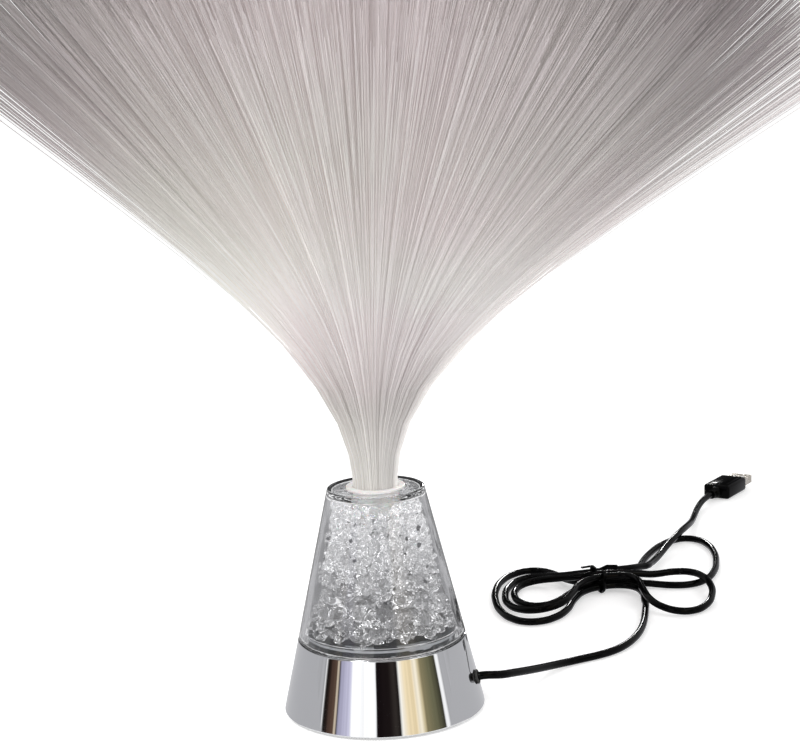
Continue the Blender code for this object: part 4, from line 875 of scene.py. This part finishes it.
# %% Fibre finish
def fibre_finish():
    """Cream near the bundle and pinkish grey further out. Painted shade makes the
    fibres darker towards the sides, and more on the right, and at the right fringe
    they turn pale and glow, as a painted haze of light. Each fibre has a tone of
    its own, so that some stand out as light streaks. A faint painted glow, most
    where they leave the lamp, stands in for the light that scatters through the
    clear fibres."""
    material, tree, shader = shader_of("optical_fibre")
    ramp, sums = partial(ramp_of, tree), partial(calc, tree)

    def kept(name):
        return put(tree, "ShaderNodeAttribute", attribute_name=name).outputs["Fac"]

    def times(first, second):
        return mixed(tree, 1.0, first, second, "MULTIPLY")

    along = kept("along")
    sideways = sums("MULTIPLY", kept("share"), sums("COSINE", kept("turn")))
    to_right = sums("MAXIMUM", sideways, 0.0)
    outward = sums("MULTIPLY", sums("POWER", along, 1.5),
                   sums("POWER", sums("ABSOLUTE", sideways), 1.5))
    # Painted light: towards the right fringe the fibres turn pale and glow, as a haze of light
    # behind the plume.
    fringe = mapped(tree, to_right, 0.78, 1.0)
    color = ramp(along, (0.0, (0.90, 0.885, 0.872)), (0.20, (0.90, 0.884, 0.876)),
                 (0.40, (0.88, 0.853, 0.846)), (0.65, (0.85, 0.815, 0.812)),
                 (1.0, (0.80, 0.76, 0.762)))
    # Painted shade: darker where the fibres lean far out to the sides, and darker still on the
    # right.
    side = ramp(outward, (0.0, grey(1.0)), (0.20, (0.90, 0.885, 0.89)),
                (0.38, (0.68, 0.66, 0.67)), (0.65, (0.46, 0.44, 0.45)), (1.0, (0.38, 0.36, 0.37)))
    side = times(side, ramp(to_right, (0.0, grey(1.0)), (0.35, (0.86, 0.855, 0.86)),
                            (1.0, (0.80, 0.79, 0.80))))
    side = mixed(tree, fringe, side, rgba((1.0, 0.99, 0.99)))
    tone = ramp(kept("tone"), (0.0, (0.88, 0.88, 0.87)), (0.5, (0.97, 0.965, 0.96)),
                (0.86, grey(1.0)), (0.93, (1.14, 1.14, 1.13)), (1.0, (1.20, 1.20, 1.19)))
    patch = ramp(noise_of(tree, 9.0, 2.0), (0.35, (1.0, 0.965, 0.975)),
                 (0.65, (0.975, 1.0, 0.965)))
    shade = times(tone, patch)
    # Painted glow, in place of light that scatters through the clear fibres. It fades where they
    # lean far out.
    glow = ramp(along, (0.0, (0.115, 0.112, 0.110)), (0.04, (0.088, 0.085, 0.083)),
                (0.10, (0.158, 0.156, 0.155)), (0.20, (0.172, 0.171, 0.171)),
                (0.38, (0.120, 0.113, 0.113)), (0.60, (0.082, 0.076, 0.077)),
                (1.0, (0.038, 0.035, 0.036)))
    fade = ramp(outward, (0.0, grey(0.85)), (0.035, grey(1.30)), (0.12, grey(1.05)),
                (0.30, grey(0.50)), (0.6, grey(0.0)))
    glow = mixed(tree, fringe, times(glow, fade), rgba((0.42, 0.415, 0.42)))
    wire(tree, shader, {
        "Base Color": times(times(color, side), shade), "Roughness": 0.40,
        "Specular IOR Level": 0.25, "Emission Color": times(glow, shade),
        "Emission Strength": 1.0})
    return material


grow_fibres = fibre_tree("grow_fibres", fibre_finish())
for index in range(FIBRE_BUNDLES):
    bundle = grown(f"fibre_bundle_{index + 1}", bpy.data.meshes.new("seed"), grow_fibres,
                   {"Seed": index + 1})
    fit(bundle, "fibre_head", "fibre", "fibre_spray")

# %% [markdown]
# ## Plug and twist tie
#
# The grip of the plug is one soft block with round edges and a raised panel on
# each flat side. Its boot steps down to the cord and has three grooves. The tie
# is a flat plastic band with a wire in it, bent round the hank's waist, and its
# two ends part on top. A band that turns with its path is swept by carrying one
# side vector along from point to point.

# %% Plug grip and boot
PLUG_PLACE, PLUG_ANGLE, PLUG_LEVEL = (0.1880, 0.3150), radians(57), 0.0043
BOOT_LENGTH, GROOVE_PITCH = 0.0070, 0.0012
GRIP_SIZE, GRIP_EDGE = Vector((0.0260, 0.0158, 0.0080)), 0.0017
PANEL_SHARE, PANEL_RISE, PANEL_EDGE = (0.72, 0.66), 0.0005, 0.0004
plug_frame = Matrix.Translation((*PLUG_PLACE, PLUG_LEVEL)) @ Matrix.Rotation(PLUG_ANGLE, 4, "Z")
plug_black = finish("plug_black", (0.0008, 0.0008, 0.0009), (0.0018, 0.0018, 0.0019),
                    (0.06, 0.09), Specular_IOR_Level=0.05)


def soft_block(work, size, centre, edge, steps=3):
    made = bmesh.ops.create_cube(work, size=1.0)["verts"]
    bmesh.ops.scale(work, vec=size, verts=made)
    bmesh.ops.translate(work, vec=centre, verts=made)
    edges = list({link for vert in made for link in vert.link_edges})
    bmesh.ops.bevel(work, geom=edges, offset=edge, segments=steps, profile=0.5,
                    affect="EDGES")


def plug_grip(work):
    centre = Vector((BOOT_LENGTH + SEAT_GAP + GRIP_SIZE.x / 2, 0.0, 0.0))
    soft_block(work, GRIP_SIZE, centre, GRIP_EDGE, 4)
    panel = Vector((GRIP_SIZE.x * PANEL_SHARE[0], GRIP_SIZE.y * PANEL_SHARE[1],
                    GRIP_SIZE.z + PANEL_RISE))
    soft_block(work, panel, centre, PANEL_EDGE)
    bmesh.ops.transform(work, matrix=plug_frame, verts=work.verts)


grip = mesh_object("plug_grip", plug_grip, plug_black, radians(40))
fit(grip, "lamp", "black_plastic", "plug_overmold")

groove = [(radius, level + GROOVE_PITCH * index) for index in range(3)
          for radius, level in ((0.0027, 0.0009), (0.0024, 0.0011), (0.0024, 0.0015),
                                (0.0027, 0.0017))]
boot_profile = [(0.0, 0.0), (0.0025, 0.0), *groove, (0.0028, 0.0044), (0.0033, 0.0050),
                (0.0034, 0.0068), (0.0034, BOOT_LENGTH), (0.0, BOOT_LENGTH)]
boot = turned("plug_strain_relief", boot_profile, plug_black, 32, radians(40))
boot.data.transform(plug_frame @ Matrix.Rotation(pi / 2, 4, "Y"))
fit(boot, "lamp", "black_plastic", "plug_boot")


# %% Twist tie
TIE_HALF_WIDTH, TIE_LOW, TIE_HIGH, TIE_BEND = 0.00785, -0.0010, 0.00955, 0.0030
TIE_END_LENGTH, TIE_END_RISE = 0.0075, 0.0016
TIE_SHIFT, TIE_DRIFT = -0.0030, 0.00264
BAND_HALF_WIDTH, BAND_HALF_THICKNESS = 0.0011, 0.00045
TIE_CENTRE, TIE_TURN = (0.1090, 0.1515, CORD_RADIUS), radians(12)


def tie_path():
    """One turn round the waist that drifts sideways, and two ends that part."""
    ring = [(TIE_HALF_WIDTH * 0.2, TIE_HIGH)]
    for side, level, start in ((1, TIE_HIGH - TIE_BEND, pi / 2), (1, TIE_LOW + TIE_BEND, 0.0),
                               (-1, TIE_LOW + TIE_BEND, -pi / 2), (-1, TIE_HIGH - TIE_BEND, -pi)):
        for step in range(7):
            angle = start - pi / 2 * step / 6
            ring.append((side * (TIE_HALF_WIDTH - TIE_BEND) + TIE_BEND * cos(angle),
                         level + TIE_BEND * sin(angle)))
    ring.append((-TIE_HALF_WIDTH * 0.2, TIE_HIGH))
    points = [Vector((TIE_SHIFT - TIE_DRIFT / 2 + TIE_DRIFT * index / (len(ring) - 1),
                      across, level)) for index, (across, level) in enumerate(ring)]
    first = points[0] + Vector((-TIE_END_LENGTH, -TIE_HALF_WIDTH * 0.3, TIE_END_RISE))
    last = points[-1] + Vector((TIE_END_LENGTH, -TIE_HALF_WIDTH * 0.2, TIE_END_RISE / 2))
    rise = Vector((0.0, 0.0, TIE_END_RISE / 2))
    return [first, points[0].lerp(first, 0.33) + rise, *points,
            points[-1].lerp(last, 0.33) + rise, last]


def band_along(path, side, half_width, half_thickness, corners=10):
    """A flat band with round edges, its width carried along the path."""
    def build(work):
        width_way, rings = side.normalized(), []
        for index, point in enumerate(path):
            before, after = path[max(index - 1, 0)], path[min(index + 1, len(path) - 1)]
            heading = (after - before).normalized()
            width_way = (width_way - heading * width_way.dot(heading)).normalized()
            thick_way = heading.cross(width_way)
            rings.append([work.verts.new(
                point + width_way * half_width * cos(2 * pi * step / corners)
                + thick_way * half_thickness * sin(2 * pi * step / corners))
                for step in range(corners)])
        for first, second in zip(rings, rings[1:]):
            for step in range(corners):
                after = (step + 1) % corners
                work.faces.new((first[step], first[after], second[after], second[step]))
        work.faces.new(rings[0][::-1])
        work.faces.new(rings[-1])
        bmesh.ops.transform(work, matrix=Matrix.Translation(TIE_CENTRE)
                            @ Matrix.Rotation(TIE_TURN, 4, "Z"), verts=work.verts)
        bmesh.ops.recalc_face_normals(work, faces=work.faces)
    return build


tie_sweep = band_along(tie_path(), Vector((0.35, 0.94, 0.0)),
                       BAND_HALF_WIDTH, BAND_HALF_THICKNESS)
tie = mesh_object("tie_band", tie_sweep, plug_black, radians(50))
fit(tie, "lamp", "cord_pvc", "twist_tie")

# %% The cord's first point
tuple(cord_route[0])

# %% [markdown]
# ## Finishes of the measured nodes
#
# The nodes that stay as they were measured get a finish each, by the start of
# their names. The plate under the crystals has one of its own, because its edge
# shows through the cone's foot.

# %% Finish of the plate
PLATE_FOOT, PLATE_TOP, LINE_HEIGHT = 0.0313, 0.0343, 0.72


def plate_finish():
    """Black, with a pale line round its edge. Towards the rim pale patches of
    painted light, for the light that leaks round the crystals, break the black up."""
    material, tree, shader = shader_of("plate_black")
    x, y, z = object_place(tree)
    radius = calc(tree, "SQRT", calc(tree, "ADD", product(tree, x, x), product(tree, y, y)))
    rim = mapped(tree, radius, 0.0262, 0.0272)
    # Painted light: pale patches towards the rim.
    patch = mapped(tree, noise_of(tree, 110.0, 2.0, (1.0, 1.0, 3.0)), 0.54, 0.58)
    height = mapped(tree, z, PLATE_FOOT, PLATE_TOP)
    off_line = calc(tree, "ABSOLUTE", calc(tree, "SUBTRACT", height, LINE_HEIGHT))
    patch = calc(tree, "MAXIMUM", patch, mapped(tree, off_line, 0.14, 0.20, 1.0, 0.0))
    wire(tree, shader, {
        "Base Color": mixed(tree, product(tree, rim, patch), rgba((0.003, 0.006, 0.008)),
                            rgba((0.42, 0.43, 0.45))),
        "Roughness": mapped(tree, patch, 0.0, 1.0, 0.40, 0.55), "Specular IOR Level": 0.15})
    return material


# %% Node finishes
FINISHES = {
    # name: dark tone, light tone, roughness from and to, and what else it has
    "black_plastic": ((0.014, 0.014, 0.015), (0.024, 0.024, 0.026), (0.32, 0.46),
                      dict(grain=2600.0, depth=0.00003)),
    "dark_plastic": ((0.018, 0.024, 0.026), (0.032, 0.040, 0.042), (0.25, 0.40),
                     dict(grain=1800.0, depth=0.00003)),
    "rubber": (grey(0.016), grey(0.032), (0.62, 0.80), dict(grain=2200.0, depth=0.00005)),
    "screw_steel": ((0.48, 0.48, 0.49), (0.60, 0.60, 0.61), (0.24, 0.38),
                    dict(grain=3000.0, depth=0.00001, Metallic=1.0)),
    "nickel_plating": ((0.50, 0.46, 0.40), (0.66, 0.63, 0.57), (0.16, 0.30),
                       dict(drift=120.0, grain=2500.0, depth=0.00001, Metallic=1.0)),
    "contact_gold": ((0.80, 0.58, 0.24), (0.92, 0.70, 0.32), (0.18, 0.28), dict(Metallic=1.0)),
    "board_green": ((0.010, 0.060, 0.028), (0.018, 0.095, 0.045), (0.30, 0.45),
                    dict(grain=1600.0, depth=0.00002)),
    "led_resin": ((0.80, 0.82, 0.84), (0.90, 0.91, 0.92), (0.05, 0.12),
                  dict(Transmission_Weight=0.7)),
    "white_plastic": ((0.74, 0.74, 0.73), (0.82, 0.82, 0.81), (0.34, 0.48),
                      dict(grain=2600.0, depth=0.00002)),
    "black_pvc": ((0.010, 0.010, 0.011), (0.018, 0.018, 0.019), (0.28, 0.40), {}),
    "red_pvc": ((0.45, 0.020, 0.016), (0.58, 0.035, 0.026), (0.30, 0.42), {}),
    "fibre_ends": ((0.70, 0.68, 0.66), (0.86, 0.85, 0.83), (0.25, 0.40), dict(drift=900.0)),
}
made = {name: finish(name, *tones, **more) for name, (*tones, more) in FINISHES.items()}
made.update(plate_black=plate_finish(), plug_black=plug_black)
NODE_FINISHES = {
    "bottom_cover": "black_plastic", "foot": "rubber", "cover_screw": "screw_steel",
    "mode_button": "dark_plastic", "control_board": "board_green",
    "controller_chip": "black_plastic", "switch_body": "dark_plastic",
    "support_plate": "plate_black", "led_holder": "white_plastic", "led_board": "board_green",
    "led_centre": "led_resin", "led_side": "led_resin", "wire_positive": "red_pvc",
    "wire_negative": "black_pvc", "fibre_core": "fibre_ends", "cord_grommet": "rubber",
    "inner_cord": "black_pvc", "twist_tie": "black_pvc", "plug_boot": "plug_black",
    "plug_overmold": "plug_black", "plug_shell": "nickel_plating",
    "plug_tongue": "white_plastic", "plug_contact": "contact_gold",
}
painted = 0
for name, item in nodes.items():
    for start, finish_name in NODE_FINISHES.items():
        if name.startswith(start):
            item.data.materials.clear()
            item.data.materials.append(made[finish_name])
            painted += 1
print(painted, "measured nodes painted")
